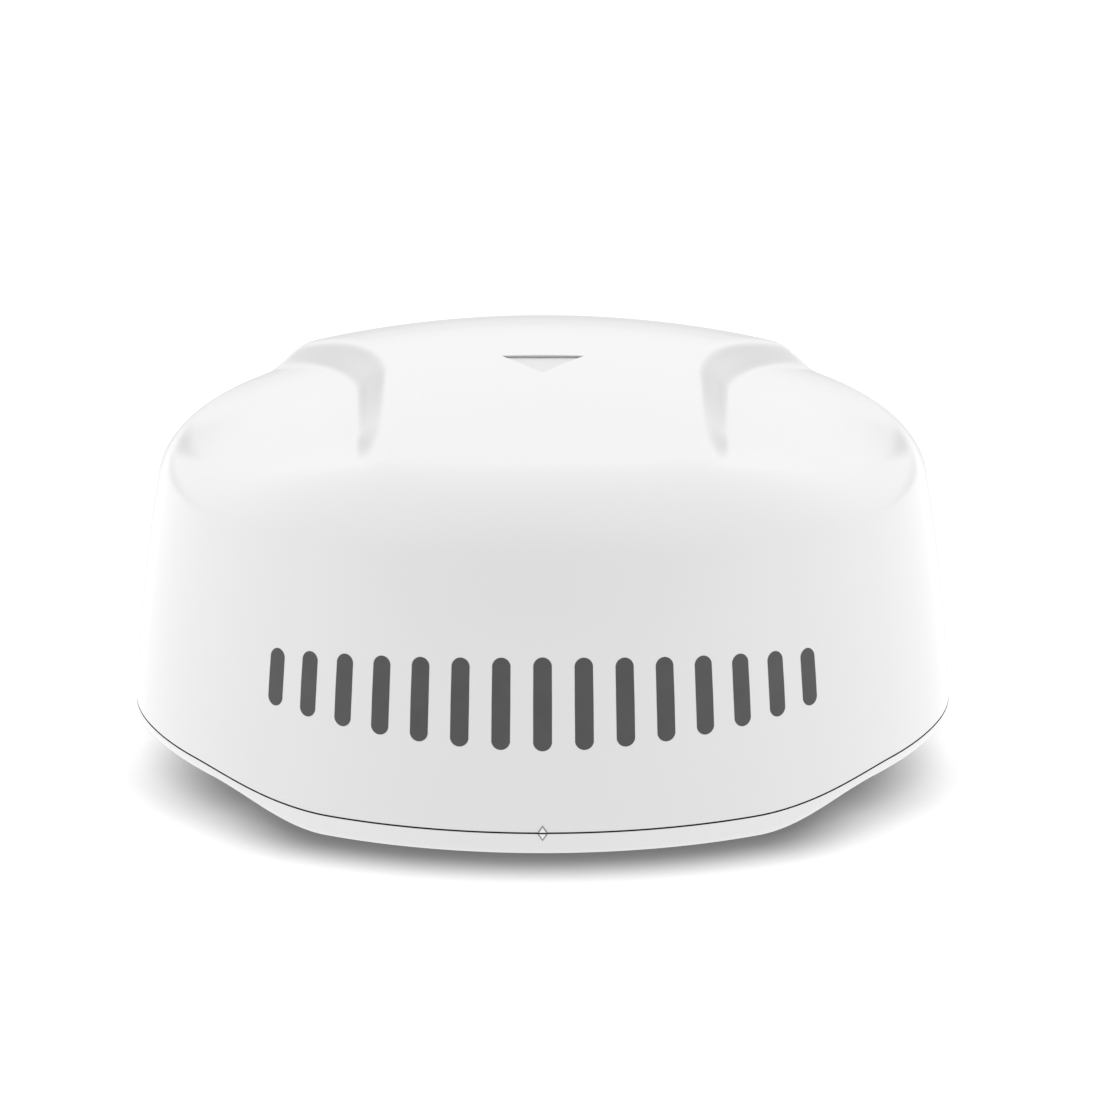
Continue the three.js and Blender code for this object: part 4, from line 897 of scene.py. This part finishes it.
def build_motor_screws():
    profile = [(0, 46), (1.45, 46), (1.45, 54.6), (3, 54.6), (3, 56.6, 0.6), (0, 56.6)]
    for name, side in (("front", -1), ("rear", 1)):
        socket_screw("motor_fixing_" + name, profile, (1.45, 55.3, 58),
                     lambda part, s=side: moved(part, MOTOR_X - MOTOR_SCREW, MOTOR_SCREW * s),
                     "base", "motor_screw_" + name)


def build_earth_screw():
    screw = lathe([(0, 0.6), (4.4, 0.6, 0.8), (4.4, 3.7), (2.45, 3.7), (2.45, 14), (0, 14)], 0.3, 48)
    ground = mesh_object("earth_screw", [moved(screw, *EARTH_PLACE)])
    cut(ground, moved(block((-0.6, 0.6), (-6, 6), (-1, 1.9), 0.1, 0.05), *EARTH_PLACE))
    complete(ground, "steel", "base", "ground_screw")


# ---- connectors, vent and boards -----------------------------------------------------------------
def build_connectors():
    for name, (x, barrel, flange) in CONNECTORS.items():
        y = POCKET_FRONT
        shell = [(0, y - 16), (barrel, y - 16), (barrel, y + 0.3), (flange, y + 0.3, 0.4),
                 (flange, y + 4, 0.8), (barrel, y + 4, 0.4), (barrel, y + 22, 0.5),
                 (barrel - 1.6, y + 22, 0.3), (barrel - 1.6, y + 10), (0, y + 10)]
        parts = [(along_y(lathe(shell, 0.3, 64), x, CONNECTOR_Z), 0)]
        for k in range(3):
            rib = tube(barrel - 0.1, barrel + 0.35, y + 6 + 3 * k, y + 7.2 + 3 * k, 0.3, 64)
            parts.append((along_y(rib, x, CONNECTOR_Z), 0))
        pins = 3 if name == "power" else 8
        for k in range(pins):
            pin = lathe([(0, y + 9.5), (0.55, y + 9.5), (0.55, y + 17.5, 0.4), (0, y + 17.8)], 0.1, 20)
            pin = moved(pin, *polar(2.9, 2 * math.pi * k / pins))
            parts.append((along_y(pin, x, CONNECTOR_Z), 1))
        make(name + "_socket", parts, "dark_plastic brass", "base", name + "_connector")
        nut = mesh_object(name + "_lock_nut", [raised(hexagon(barrel + 3.3, 30), y - 10, y - 4.3, 0.4)])
        cut(nut, disc(barrel + 0.3, y - 12, y, 0.05, 64))
        lay_along_y(nut, x, CONNECTOR_Z)
        complete(nut, "brass", "base", name + "_connector_nut")


def build_vent():
    vent = lathe([(0, 0.8), (6.2, 0.8, 0.6), (7, 1.8, 0.4), (7, 3.7), (4, 3.7), (4, 11), (0, 11)], 0.25, 64)
    slots = [turned(block((-0.4, 0.4), (2.4, 5.6), (0.5, 0.95), 0.2, 0.05), 60 * k) for k in range(6)]
    vent_parts = [moved(part, *VENT_PLACE) for part in [vent, *slots]]
    make("vent_cap", vent_parts, "dark_plastic", "base", "vent_plug")


def lay_along_y(obj, x, z):
    count = len(obj.data.vertices)
    flat = np.empty(count * 3)
    obj.data.vertices.foreach_get("co", flat)
    points, _ = along_y((flat.reshape(-1, 3) * 1000, None), x, z)
    obj.data.vertices.foreach_set("co", (points * 0.001).ravel())
    obj.data.update()


def build_boards():
    parts = [(raised(round_rect(0, -122, 92, 42, 4), 14.3, 15.9, 0.15), 0)]
    top = 15.85

    def chip(x, y, half_x, half_y, height, index):
        sides = (x - half_x, x + half_x), (y - half_y, y + half_y)
        parts.append((block(*sides, (top, top + height), 0.5, 0.25), index))

    chip(-45, -125, 15, 15, 3, 1)
    chip(1, -134, 11, 11, 2.4, 1)
    chip(50, -140, 20, 10, 9, 2)
    chip(-10, -97.5, 10, 7.5, 5, 3)
    chip(48, -104, 8, 8, 9, 1)
    chip(-75, -92, 6, 5, 8, 3)
    chip(-52, -86, 6, 4, 6, 3)
    for k in range(5):
        can = lathe([(0, top), (3.2, top), (3.2, top + 9.5, 0.6), (2.7, top + 9.5, 0.3), (2.6, top + 9.2),
                     (0, top + 9.2)], 0.2, 32)
        parts.append((moved(can, 76, -150 + 9 * k), 4))
    for k in range(22):
        chip(-80 + 7.2 * k, -158 + 3 * math.sin(k * 1.7), 1.1, 0.6, 0.8, 1 if k % 3 else 4)
        chip(-70 + 6.1 * k, -110 + 4 * math.sin(k * 2.3), 0.6, 1.1, 0.8, 4 if k % 4 else 1)
    for x, y in BOARD_SCREWS:
        parts.append((moved(disc(3.4, top, top + 1.6, 0.5, 32), x, y), 4))
    looks = "solder_mask dark_plastic tin pale_plastic tin"
    make("control_board", parts, looks, "base", "main_board")


def build_radio():
    outer = round_rect(112, 0, 46, 42, 5)
    inner = round_rect(112, 0, 43, 39, 3)
    loops = [level(offset(outer, 0.4), 8.3), level(outer, 8.7), level(outer, 33.7),
             level(offset(outer, 0.3), 34), level(offset(inner, -0.3), 34), level(inner, 33.7),
             level(inner, 12.4), level(offset(inner, 0.4), 12)]
    make("radio_tray", [skin(loops)], "cast_aluminium", "base", "rf_module_housing")
    parts = [raised(outer, 34.3, 37, 0.5)]
    for k in range(11):
        y = -32 + 6.4 * k
        parts.append(block((76, 148), (y - 0.9, y + 0.9), (36.8, 40), 0.8, 0.6))
    for x in (71, 153):
        for y in (-37, 0, 37):
            parts.append(moved(disc(2.2, 36.9, 38.4, 0.5, 32), x, y))
    make("radio_cover", parts, "cast_aluminium", "base", "rf_module_lid")


def build_cables():
    y = POCKET_FRONT - 16.6
    power = [(-18, y, 19), (-18, y - 7.4, 19), (-34, 84, 15), (-90, 50, 13), (-113, 10, 13), (-112, -30, 13),
             (-98, -62, 16), (-80, -86, 20)]
    network = [(18, y, 19), (18, y - 7.4, 19), (36, 70, 17), (56, 50, 18), (63, 30, 22)]
    motor = [(MOTOR_X - 21.5, 0, 18), (MOTOR_X - 28, 0, 18), (-94, -24, 18), (-80, -56, 19), (-56, -84, 20)]
    feed = [(0, 8.5, 71.8), (0, 14, 71.8), (0, 21, 79), (0, 22, 100), (0, 17, 112), (0, 11.2, 113)]
    for name, path, radius, body, node in (("power_lead", power, 2.6, "base", "power_harness"),
                                           ("network_lead", network, 2.2, "base", "network_harness"),
                                           ("motor_lead", motor, 1.8, "base", "motor_cable"),
                                           ("array_lead", feed, 1.8, "antenna", "feed_cable")):
        make(name, [cable(path, radius)], "cable_jacket", body, node)


# ---- pedestal, bearings, gears and motor ---------------------------------------------------------
def build_pedestal():
    seat = 17.5
    profile = [(12.2, 8.3), (37, 8.3, 0.6), (37, 13, 1.0), (26, 14.5, 2.5), (22, 56, 0.8), (seat, 56),
               (seat, 45.4), (13.8, 45.4), (13.8, 26.6), (seat, 26.6), (seat, 16.0), (12.2, 16.0)]
    column = mesh_object("pedestal_column", [lathe(profile, 0.4, 96)])
    holes = [on_circle(disc(2.6, 7, 15.5, 0.05, 32), COLUMN_SCREW_CIRCLE, a) for a in COLUMN_SCREWS.values()]
    cut(column, *holes)
    for azimuth in (0, 120, 240):
        web = skin([np.array([[-1.6, y, z], [1.6, y, z], [1.6, -21, z], [-1.6, -21, z]])
                    for y, z in ((-35, 12), (-35, 14), (-22.8, 46))])
        join(column, mesh_object("web", [turned(web, azimuth)]))
    complete(column, "cast_aluminium", "base", "pedestal")


def build_bearings():
    for name, low in (("lower", 16.3), ("upper", 45.7)):
        high, middle = low + 10, low + 5
        races = (("outer", 14.5, 17.2, 1, "base"), ("inner", 11.4, 8.5, -1, "antenna"))
        for race, track, back, sign, body in races:
            turns = [math.radians(a) for a in range(-90, 91, 15)]
            groove = [(track + sign * 0.78 * math.cos(a), middle + 2 * math.sin(a), 0) for a in turns]
            profile = [(back, low), (track, low), *groove, (track, high), (back, high)]
            if sign < 0:
                profile = profile[::-1]
            make(name + "_" + race + "_ring", [lathe(profile, 0.35, 96)], "steel", body,
                 name + "_bearing_" + race + "_race")
        parts = [(tube(12.35, 13.55, middle - 0.9, middle + 0.9, 0.2, 96), 1)]
        for k in range(7):
            turns = [math.radians(a) for a in range(-85, 86, 10)]
            arc = [(1.84 * math.cos(a), middle + 1.84 * math.sin(a), 0) for a in turns]
            ball = lathe([(0, middle - 1.83), *arc, (0, middle + 1.83)], 0, 32)
            parts.append((turned(moved(ball, 12.95, 0, 0), 360 * k / 7), 0))
        make(name + "_ball_ring", parts, "steel brass", name + "_ball_set", name + "_bearing_balls",
             50)


def gear_outline(teeth, centre_angle):
    pitch = GEAR_MODULE * teeth / 2
    base = pitch * math.cos(math.radians(20))
    tip, root = pitch + 0.95 * GEAR_MODULE, pitch - 1.3 * GEAR_MODULE

    def involute(radius):
        a = math.acos(min(1.0, base / radius))
        return math.tan(a) - a

    at_pitch = (math.pi * GEAR_MODULE / 2 - 0.22) / (2 * pitch)

    def half(radius):
        return at_pitch + involute(pitch) - involute(max(radius, base))

    radii = np.linspace(max(base, root + 0.2), tip, 6)
    points = []
    for k in range(teeth):
        middle = centre_angle + 2 * math.pi * k / teeth
        foot = half(radii[0]) + 0.12 / root
        row = [(root, middle - foot)] + [(r, middle - half(r)) for r in radii]
        row += [(r, middle + half(r)) for r in radii[::-1]] + [(root, middle + foot)]
        points += [polar(r, a) for r, a in row]
    return np.array(points)


def gear(teeth, centre_angle, low, high, bore, web=None):
    """A spur gear with broken edges; web is an optional recess on top: inner radius, outer radius, depth."""
    outline = gear_outline(teeth, centre_angle)
    angle = np.degrees(np.arctan2(outline[:, 0], -outline[:, 1]))
    order = np.unwrap(np.radians(angle))
    full_turn = math.copysign(2 * math.pi, order[1] - order[0])
    even = np.degrees(np.linspace(order[0], order[0] + full_turn, len(order), endpoint=False))
    even = np.degrees(order) * 0.5 + even * 0.5
    broken = outline * (1 - 0.15 / np.hypot(*outline.T))[:, None]
    top = [level(broken, high)]
    if web:
        inner, outer, depth = web
        top += [ring(even, outer, high), ring(even, outer - 0.4, high - depth),
                ring(even, inner + 0.4, high - depth), ring(even, inner, high)]
    top += [ring(even, bore + 0.3, high), ring(even, bore, high - 0.3)]
    bottom = [ring(even, bore, low + 0.3), ring(even, bore + 0.3, low), level(broken, low)]
    return skin([*bottom, level(outline, low + 0.15), level(outline, high - 0.15), *top], True)


def build_gears():
    wheel = mesh_object("ring_gear", [gear(GEAR_TEETH, math.pi, 57.2, 62, 8.5, (24, 43, 1.3))], 25)
    cut(wheel, moved(disc(3.3, 56, 58.6, 0.05, 32), 0, MAGNET_Y))
    complete(wheel, "acetal", "antenna", "main_gear", 25)
    pinion = moved(gear(PINION_TEETH, math.pi / PINION_TEETH, 56.8, 62.4, 2.8), MOTOR_X)
    make("drive_pinion", [pinion], "brass", "motor_rotor", "pinion", 25)
    spindle = moved(disc(2.5, 45, 63.6, 0.4, 48), MOTOR_X)
    make("motor_spindle", [spindle], "steel", "motor_rotor", "motor_shaft")


def build_motor():
    def stack(low, high, half, corner):
        return raised(round_rect(0, 0, half, half, corner), low, high, 0.5)

    parts = [(stack(12, 21, 21, 4), 1), (stack(20.6, 42.4, 20.6, 5), 0), (stack(42, 51, 21, 4), 1)]
    parts.append((lathe([(3.1, 44), (10.8, 44), (10.8, 52.6, 0.4), (3.1, 52.6, 0.4)], 0.2, 72), 1))
    motor = mesh_object("stepper_motor", [(moved(p, MOTOR_X), i) for p, i in parts])
    holes = [moved(disc(1.9, 44, 55, 0.05, 24), MOTOR_X - MOTOR_SCREW, MOTOR_SCREW * s) for s in (-1, 1)]
    holes.append(moved(disc(3.1, 44, 55, 0.05, 32), MOTOR_X))
    cut(motor, *holes)
    complete(motor, "lamination cast_aluminium", "base", "drive_motor")


def build_motor_bracket():
    parts = [raised(round_rect(0, 0, 22, 31, 3), 51.3, 54.3, 0.4)]
    for side in (-1, 1):
        wall = sorted((28 * side, 31 * side))
        parts.append(block((-18, 18), wall, (8.3, 53.3), 1.0, 0.6))
        foot = sorted((29 * side, 42 * side))
        parts.append(block((-18, 12), foot, (8.3, 11.3), 2.0, 0.5))
        parts.append(moved(disc(3.2, 11.2, 13.2, 0.5, 32), -3, 37 * side))
    bracket = mesh_object("motor_mount", [moved(p, MOTOR_X) for p in parts])
    holes = [moved(disc(11.2, 50, 56, 0.05, 72), MOTOR_X)]
    holes += [moved(disc(1.9, 50, 56, 0.05, 24), MOTOR_X - MOTOR_SCREW, MOTOR_SCREW * s) for s in (-1, 1)]
    cut(bracket, *holes)
    complete(bracket, "sheet_aluminium", "base", "motor_bracket")


# ---- turning antenna -----------------------------------------------------------------------------
def build_shaft():
    profile = [(4.5, 13.5), (8.2, 13.5, 0.5), (8.2, 14.2), (7.5, 14.2), (7.5, 15.6), (8.2, 15.6),
               (8.2, 62.3), (22, 62.3), (22, 65.3, 0.6), (4.5, 65.3)]
    make("spindle", [lathe(profile, 0.2, 96)], "steel", "antenna", "antenna_shaft")
    arc = [math.radians(-82 + 4 * k) for k in range(87)]
    outline = [polar(10.6, a) for a in arc] + [polar(7.8, a) for a in arc[::-1]]
    make("snap_ring", [raised(outline, 14.5, 15.3, 0.15, 2)], "steel", "antenna", "shaft_retaining_ring")


def build_rotary_joint():
    fixed = lathe([(0, 8.3), (7, 8.3), (7, 12.8, 0.6), (2, 12.8, 0.6), (2, 49, 0.6), (0, 49)], 0.3, 64)
    make("joint_fixed_half", [fixed], "brass", "base", "rotary_joint_stator")
    turning = lathe([(0, 51), (4.2, 51, 0.5), (4.2, 68.9), (8, 68.9), (8, 71, 0.3), (7.3, 71.4, 0.3),
                     (7.3, 72.4, 0.3), (8, 72.8, 0.3), (8, 74.6, 0.7), (0, 74.6)], 0.3, 64)
    make("joint_turning_half", [turning], "brass", "antenna", "rotary_joint_rotor")


def build_position_sensor():
    magnet = moved(disc(3, 56, 58.3, 0.3, 48), 0, MAGNET_Y)
    make("hall_magnet", [magnet], "steel", "antenna", "index_magnet")
    parts = [(block((-4, 4), (41.5, 46), (8.3, 53.5), 0.8, 0.4), 0),
             (block((-5, 5), (33, 46), (50.5, 53.5), 0.8, 0.4), 0),
             (block((-7, 7), (40.5, 52), (8.3, 11), 1.5, 0.5), 0),
             (moved(disc(2.2, 10.8, 12.6, 0.4, 32), 0, 49.5), 1),
             (block((-2.2, 2.2), (36, 40), (53.2, 54.2), 0.4, 0.2), 0)]
    make("hall_sensor", parts, "dark_plastic tin", "base", "position_sensor")


def build_array_bracket():
    parts = [raised(round_rect(0, 4, 62, 24, 6), 65.6, 68.6, 0.4)]
    for side in (-1, 1):
        x = sorted((34 * side, 58 * side))
        parts.append(block(x, (11, 14), (67.6, 132), 1.2, 0.5))
        x = sorted((44 * side, 47 * side))
        gusset = skin([np.array([[x[0], 12, z], [x[1], 12, z], [x[1], y, z], [x[0], y, z]], float)
                       for z, y in ((67.8, 27), (70, 27), (90, 14.5))])
        parts.append(gusset)
        for z in (96, 122):
            parts.append(moved(turned(disc(3.2, 0, 2.2, 0.6, 32), -90, "x"), 52 * side, 13.8, z))
        for y in (-14, 14):
            parts.append(moved(disc(3.0, 68.4, 70.8, 0.6, 32), 12 * side, y))
    bracket = mesh_object("array_stand", parts)
    cut(bracket, disc(4.5, 60, 72, 0.05, 48))
    complete(bracket, "sheet_aluminium", "antenna", "array_bracket")


def build_array_channel():
    low, high = ARRAY_LOW, ARRAY_HIGH
    channel = [(-8, low, 0.3), (10.7, low, 1.5), (10.7, high, 1.5), (-8, high, 0.3), (-8, high - 3, 0.3),
               (8.2, high - 3, 1.0), (8.2, low + 3, 1.0), (-8, low + 3, 0.3)]
    section = np.array(filleted(channel, 0.3, True))
    loops = [np.column_stack([np.full(len(section), x), section])
             for x in np.linspace(-ARRAY_HALF, ARRAY_HALF, 25)]
    parts = [skin(loops)]
    for x in range(-168, 169, 56):
        parts.append(block((x - 1.5, x + 1.5), (10.5, 10.95), (low + 6, high - 6), 0.6, 0.2))
    make("array_channel", parts, "sheet_aluminium", "antenna", "array_backplate")


def build_array_board():
    low, high = ARRAY_LOW, ARRAY_HIGH
    parts = [(block((-ARRAY_HALF + 2, ARRAY_HALF - 2), (-10.4, -8.3), (low + 1, high - 1), 0.3, 0.1), 0)]
    middle = (low + high) / 2
    pitch = 2 * (ARRAY_HALF - 10) / ARRAY_PATCHES
    last = (ARRAY_PATCHES - 1) / 2
    for k in range(ARRAY_PATCHES):
        x = (k - last) * pitch
        for z in (low + 22, high - 22):
            square = (x - PATCH_HALF, x + PATCH_HALF), (-10.62, -10.3), (z - PATCH_HALF, z + PATCH_HALF)
            parts.append((block(*square, 0.3, 0.05), 1))
            feed = sorted((z + (PATCH_HALF if z < middle else -PATCH_HALF), middle))
            parts.append((block((x - 0.5, x + 0.5), (-10.6, -10.3), feed, 0.2, 0.05), 1))
    parts.append((block((-last * pitch, last * pitch), (-10.6, -10.3), (middle - 0.7, middle + 0.7),
                        0.2, 0.05), 1))
    make("patch_array", parts, "antenna_laminate patch_metal", "antenna", "array_board")


def build_array_caps():
    low, high = ARRAY_LOW, ARRAY_HIGH
    for name, side in (("left", -1), ("right", 1)):
        x = sorted(((ARRAY_HALF + 0.3) * side, (ARRAY_HALF + 3) * side))
        tongue = sorted(((ARRAY_HALF - 8) * side, (ARRAY_HALF + 1) * side))
        parts = [block(x, (-11.5, 11), (low - 0.5, high + 0.5), 1.0, 0.9),
                 block(tongue, (-7, 7.5), (low + 3.5, high - 3.5), 1, 0.5)]
        make("array_cap_" + name, parts, "dark_plastic", "antenna", "array_end_cap_" + name)


# ---- floor, light and camera ---------------------------------------------------------------------
# SKY: weights of powers of the view direction (x, y, z). CARDS: place and half size across, place and half
# size in height, depth; all as parts of a unit view direction.
SKY = {(0, 0, 0): 0.696, (0, 1, 0): 0.234, (0, 0, 1): 0.428, (2, 0, 0): 0.458}
CARDS = [(0.29, 0.11, 0.165, 0.14, 0.66), (0.0, 0.34, -0.15, 0.18, 0.6), (0.62, 0.32, 0.03, 0.08, 0.35)]
FLOOR_GLOW = 0.953
FLOOR_GLOW_REAR = 0.303
FLOOR_SEEN = 1.13
FLOOR_HALF, FLOOR_BLEND = 9000.0, 0.25
REAR_START, REAR_SHADE = 0.3, 0.8
CAMERA_ELEVATION, CAMERA_DISTANCE, CAMERA_LENS = 15.8, 9.0, 473.8
CAMERA_AIM_X, CAMERA_AIM_Z = 0.0045, 0.12195
CONTACT_FLOOR, CONTACT_EDGE, CONTACT_FADE = 0.215, 252.0, 70.0


def math_node(tree, operation, first, second=0.0):
    """A math node; numbers are set on its sockets, anything else is linked."""
    node = tree.nodes.new("ShaderNodeMath")
    node.operation = operation
    for socket, value in zip(node.inputs, (first, second)):
        if isinstance(value, (int, float)):
            socket.default_value = value
        else:
            tree.links.new(value, socket)
    return node.outputs[0]


def product(tree, first, *others):
    for other in others:
        first = math_node(tree, "MULTIPLY", first, other)
    return first


def card(tree, direction, place_x, half_x, place_z, half_z, depth):
    """A soft dark card behind the object, on both sides, seen only in reflections."""
    split = tree.nodes.new("ShaderNodeSeparateXYZ")
    tree.links.new(direction, split.inputs[0])
    left = math_node(tree, "SUBTRACT", math_node(tree, "ABSOLUTE", split.outputs["X"]), place_x)
    across = math_node(tree, "DIVIDE", left, half_x)
    up = math_node(tree, "DIVIDE", math_node(tree, "SUBTRACT", split.outputs["Z"], place_z), half_z)
    apart = math_node(tree, "ADD", product(tree, across, across), product(tree, up, up))
    near = math_node(tree, "MAXIMUM", math_node(tree, "SUBTRACT", 1.0, apart))
    behind = math_node(tree, "GREATER_THAN", split.outputs["Y"], 0.0)
    path = tree.nodes.new("ShaderNodeLightPath")
    return product(tree, near, behind, path.outputs["Is Glossy Ray"], depth)


def with_cards(tree, total, direction):
    for values in CARDS:
        total = math_node(tree, "SUBTRACT", total, card(tree, direction, *values))
    return math_node(tree, "MAXIMUM", total)


def rear_shade(tree, along):
    """Less diffuse light from behind the object, which gives its rear wall some shape."""
    beyond = math_node(tree, "MAXIMUM", math_node(tree, "SUBTRACT", along, REAR_START))
    path = tree.nodes.new("ShaderNodeLightPath")
    return product(tree, beyond, REAR_SHADE, path.outputs["Is Diffuse Ray"])


def build_sky():
    """A soft studio dome: powers of the view direction's X, Y and Z, so it is darker in front than behind."""
    world = bpy.data.worlds.new("studio")
    bpy.context.scene.world = world
    world.use_nodes = True
    tree = world.node_tree
    place = tree.nodes.new("ShaderNodeTexCoord")
    split = tree.nodes.new("ShaderNodeSeparateXYZ")
    tree.links.new(place.outputs["Generated"], split.inputs[0])
    total = 0.0
    for (power_x, power_y, power_z), weight in SKY.items():
        term = weight
        for name, power in (("X", power_x), ("Y", power_y), ("Z", power_z)):
            for _ in range(power):
                term = math_node(tree, "MULTIPLY", term, split.outputs[name])
        total = math_node(tree, "ADD", total, term)
    total = with_cards(tree, total, place.outputs["Generated"])
    low = math_node(tree, "MAXIMUM", math_node(tree, "SUBTRACT", 1.0, split.outputs["Z"]))
    shade = product(tree, rear_shade(tree, split.outputs["Y"]), product(tree, low, low))
    total = math_node(tree, "MAXIMUM", math_node(tree, "SUBTRACT", total, shade))
    tree.links.new(total, tree.nodes["Background"].inputs["Strength"])
    tree.nodes["Background"].inputs["Color"].default_value = (1, 1, 1, 1)


def contact_shade(look, split):
    """The colour of the floor: pale, with a soft shade that follows the outline of the object."""
    tree = look.tree
    distance = math_node(tree, "MULTIPLY", look.radial(), 1000.0)
    azimuth = math_node(tree, "ARCTAN2", math_node(tree, "ABSOLUTE", split.outputs["X"]),
                        math_node(tree, "ABSOLUTE", split.outputs["Y"]))
    turn = look.spread(azimuth, 0.0, -38.0, math.radians(30), math.radians(52))
    side = look.spread(azimuth, CONTACT_EDGE, CONTACT_EDGE - 50.0, math.radians(45), math.radians(105))
    fade = look.spread(azimuth, CONTACT_FADE, CONTACT_FADE + 25.0, math.radians(30), math.radians(52))
    beyond = math_node(tree, "SUBTRACT", distance, math_node(tree, "ADD", turn, side))
    shade = look.spread(math_node(tree, "DIVIDE", beyond, fade), CONTACT_FLOOR, 1.0, 0.0, 1.0)
    grain = look.spread(look.noise(300, 3), 0.99 * FLOOR_SEEN, 1.01 * FLOOR_SEEN)
    return math_node(tree, "MULTIPLY", shade, grain)


def floor_light(look, split):
    """What the object gets from the floor: an even glow, brighter behind, with the cards mirrored in it."""
    tree = look.tree
    radius = math_node(tree, "MAXIMUM", look.radial(), FLOOR_BLEND)
    along = math_node(tree, "DIVIDE", split.outputs["Y"], radius)
    rear = math_node(tree, "MULTIPLY", math_node(tree, "ADD", along, 1.0), 0.5 * FLOOR_GLOW_REAR)
    back = look.node("ShaderNodeVectorMath", operation="SCALE")
    back.inputs["Scale"].default_value = -1.0
    look.link(look.node("ShaderNodeNewGeometry").outputs["Incoming"], back.inputs[0])
    shine = with_cards(tree, math_node(tree, "ADD", rear, FLOOR_GLOW), back.outputs["Vector"])
    return math_node(tree, "SUBTRACT", shine, rear_shade(tree, along))


def build_floor():
    """A floor that is painted for the camera, glows for every other ray, and is clear from below."""
    corners = [[x * FLOOR_HALF, y * FLOOR_HALF, 0] for x, y in ((-1, -1), (1, -1), (1, 1), (-1, 1))]
    floor = mesh_object("floor", [(np.array(corners), [(0, 1, 2, 3)])])
    look = Look("floor_paper")
    split = look.node("ShaderNodeSeparateXYZ")
    look.link(look.place, split.inputs[0])
    diffuse = look.node("ShaderNodeBsdfDiffuse")
    look.link(contact_shade(look, split), diffuse.inputs["Color"])
    glow = look.node("ShaderNodeEmission")
    look.link(floor_light(look, split), glow.inputs["Strength"])
    seen = look.node("ShaderNodeLightPath").outputs["Is Camera Ray"]
    choice = shader_mix(look, seen, glow.outputs[0], diffuse.outputs[0])
    below = look.node("ShaderNodeNewGeometry").outputs["Backfacing"]
    clear = look.node("ShaderNodeBsdfTransparent").outputs[0]
    under = shader_mix(look, below, choice, clear)
    look.link(under, look.tree.nodes["Material Output"].inputs["Surface"])
    floor.data.materials.append(look.material)


def shader_mix(look, factor, first, second):
    node = look.node("ShaderNodeMixShader")
    for socket, source in zip(node.inputs, (factor, first, second)):
        look.link(source, socket)
    return node.outputs[0]


def build_stage():
    build_floor()
    build_sky()
    camera = bpy.data.objects.new("camera", bpy.data.cameras.new("camera"))
    bpy.context.scene.collection.objects.link(camera)
    elevation = math.radians(CAMERA_ELEVATION)
    camera.location = (CAMERA_AIM_X, -CAMERA_DISTANCE * math.cos(elevation),
                       CAMERA_AIM_Z + CAMERA_DISTANCE * math.sin(elevation))
    camera.rotation_euler = (math.pi / 2 - elevation, 0, 0)
    camera.data.sensor_width = 36
    camera.data.lens = CAMERA_LENS
    camera.data.clip_end = 100
    bpy.context.scene.camera = camera
    bpy.context.scene.view_settings.view_transform = "Standard"


build_cover()
build_cover_inserts()
build_marks()
build_decal()
build_base()
build_seal()
build_mounting_inserts()
build_cover_screws()
build_column_screws()
build_motor_screws()
build_earth_screw()
build_connectors()
build_vent()
build_boards()
build_radio()
build_cables()
build_pedestal()
build_bearings()
build_gears()
build_motor()
build_motor_bracket()
build_shaft()
build_rotary_joint()
build_position_sensor()
build_array_bracket()
build_array_channel()
build_array_board()
build_array_caps()
build_stage()
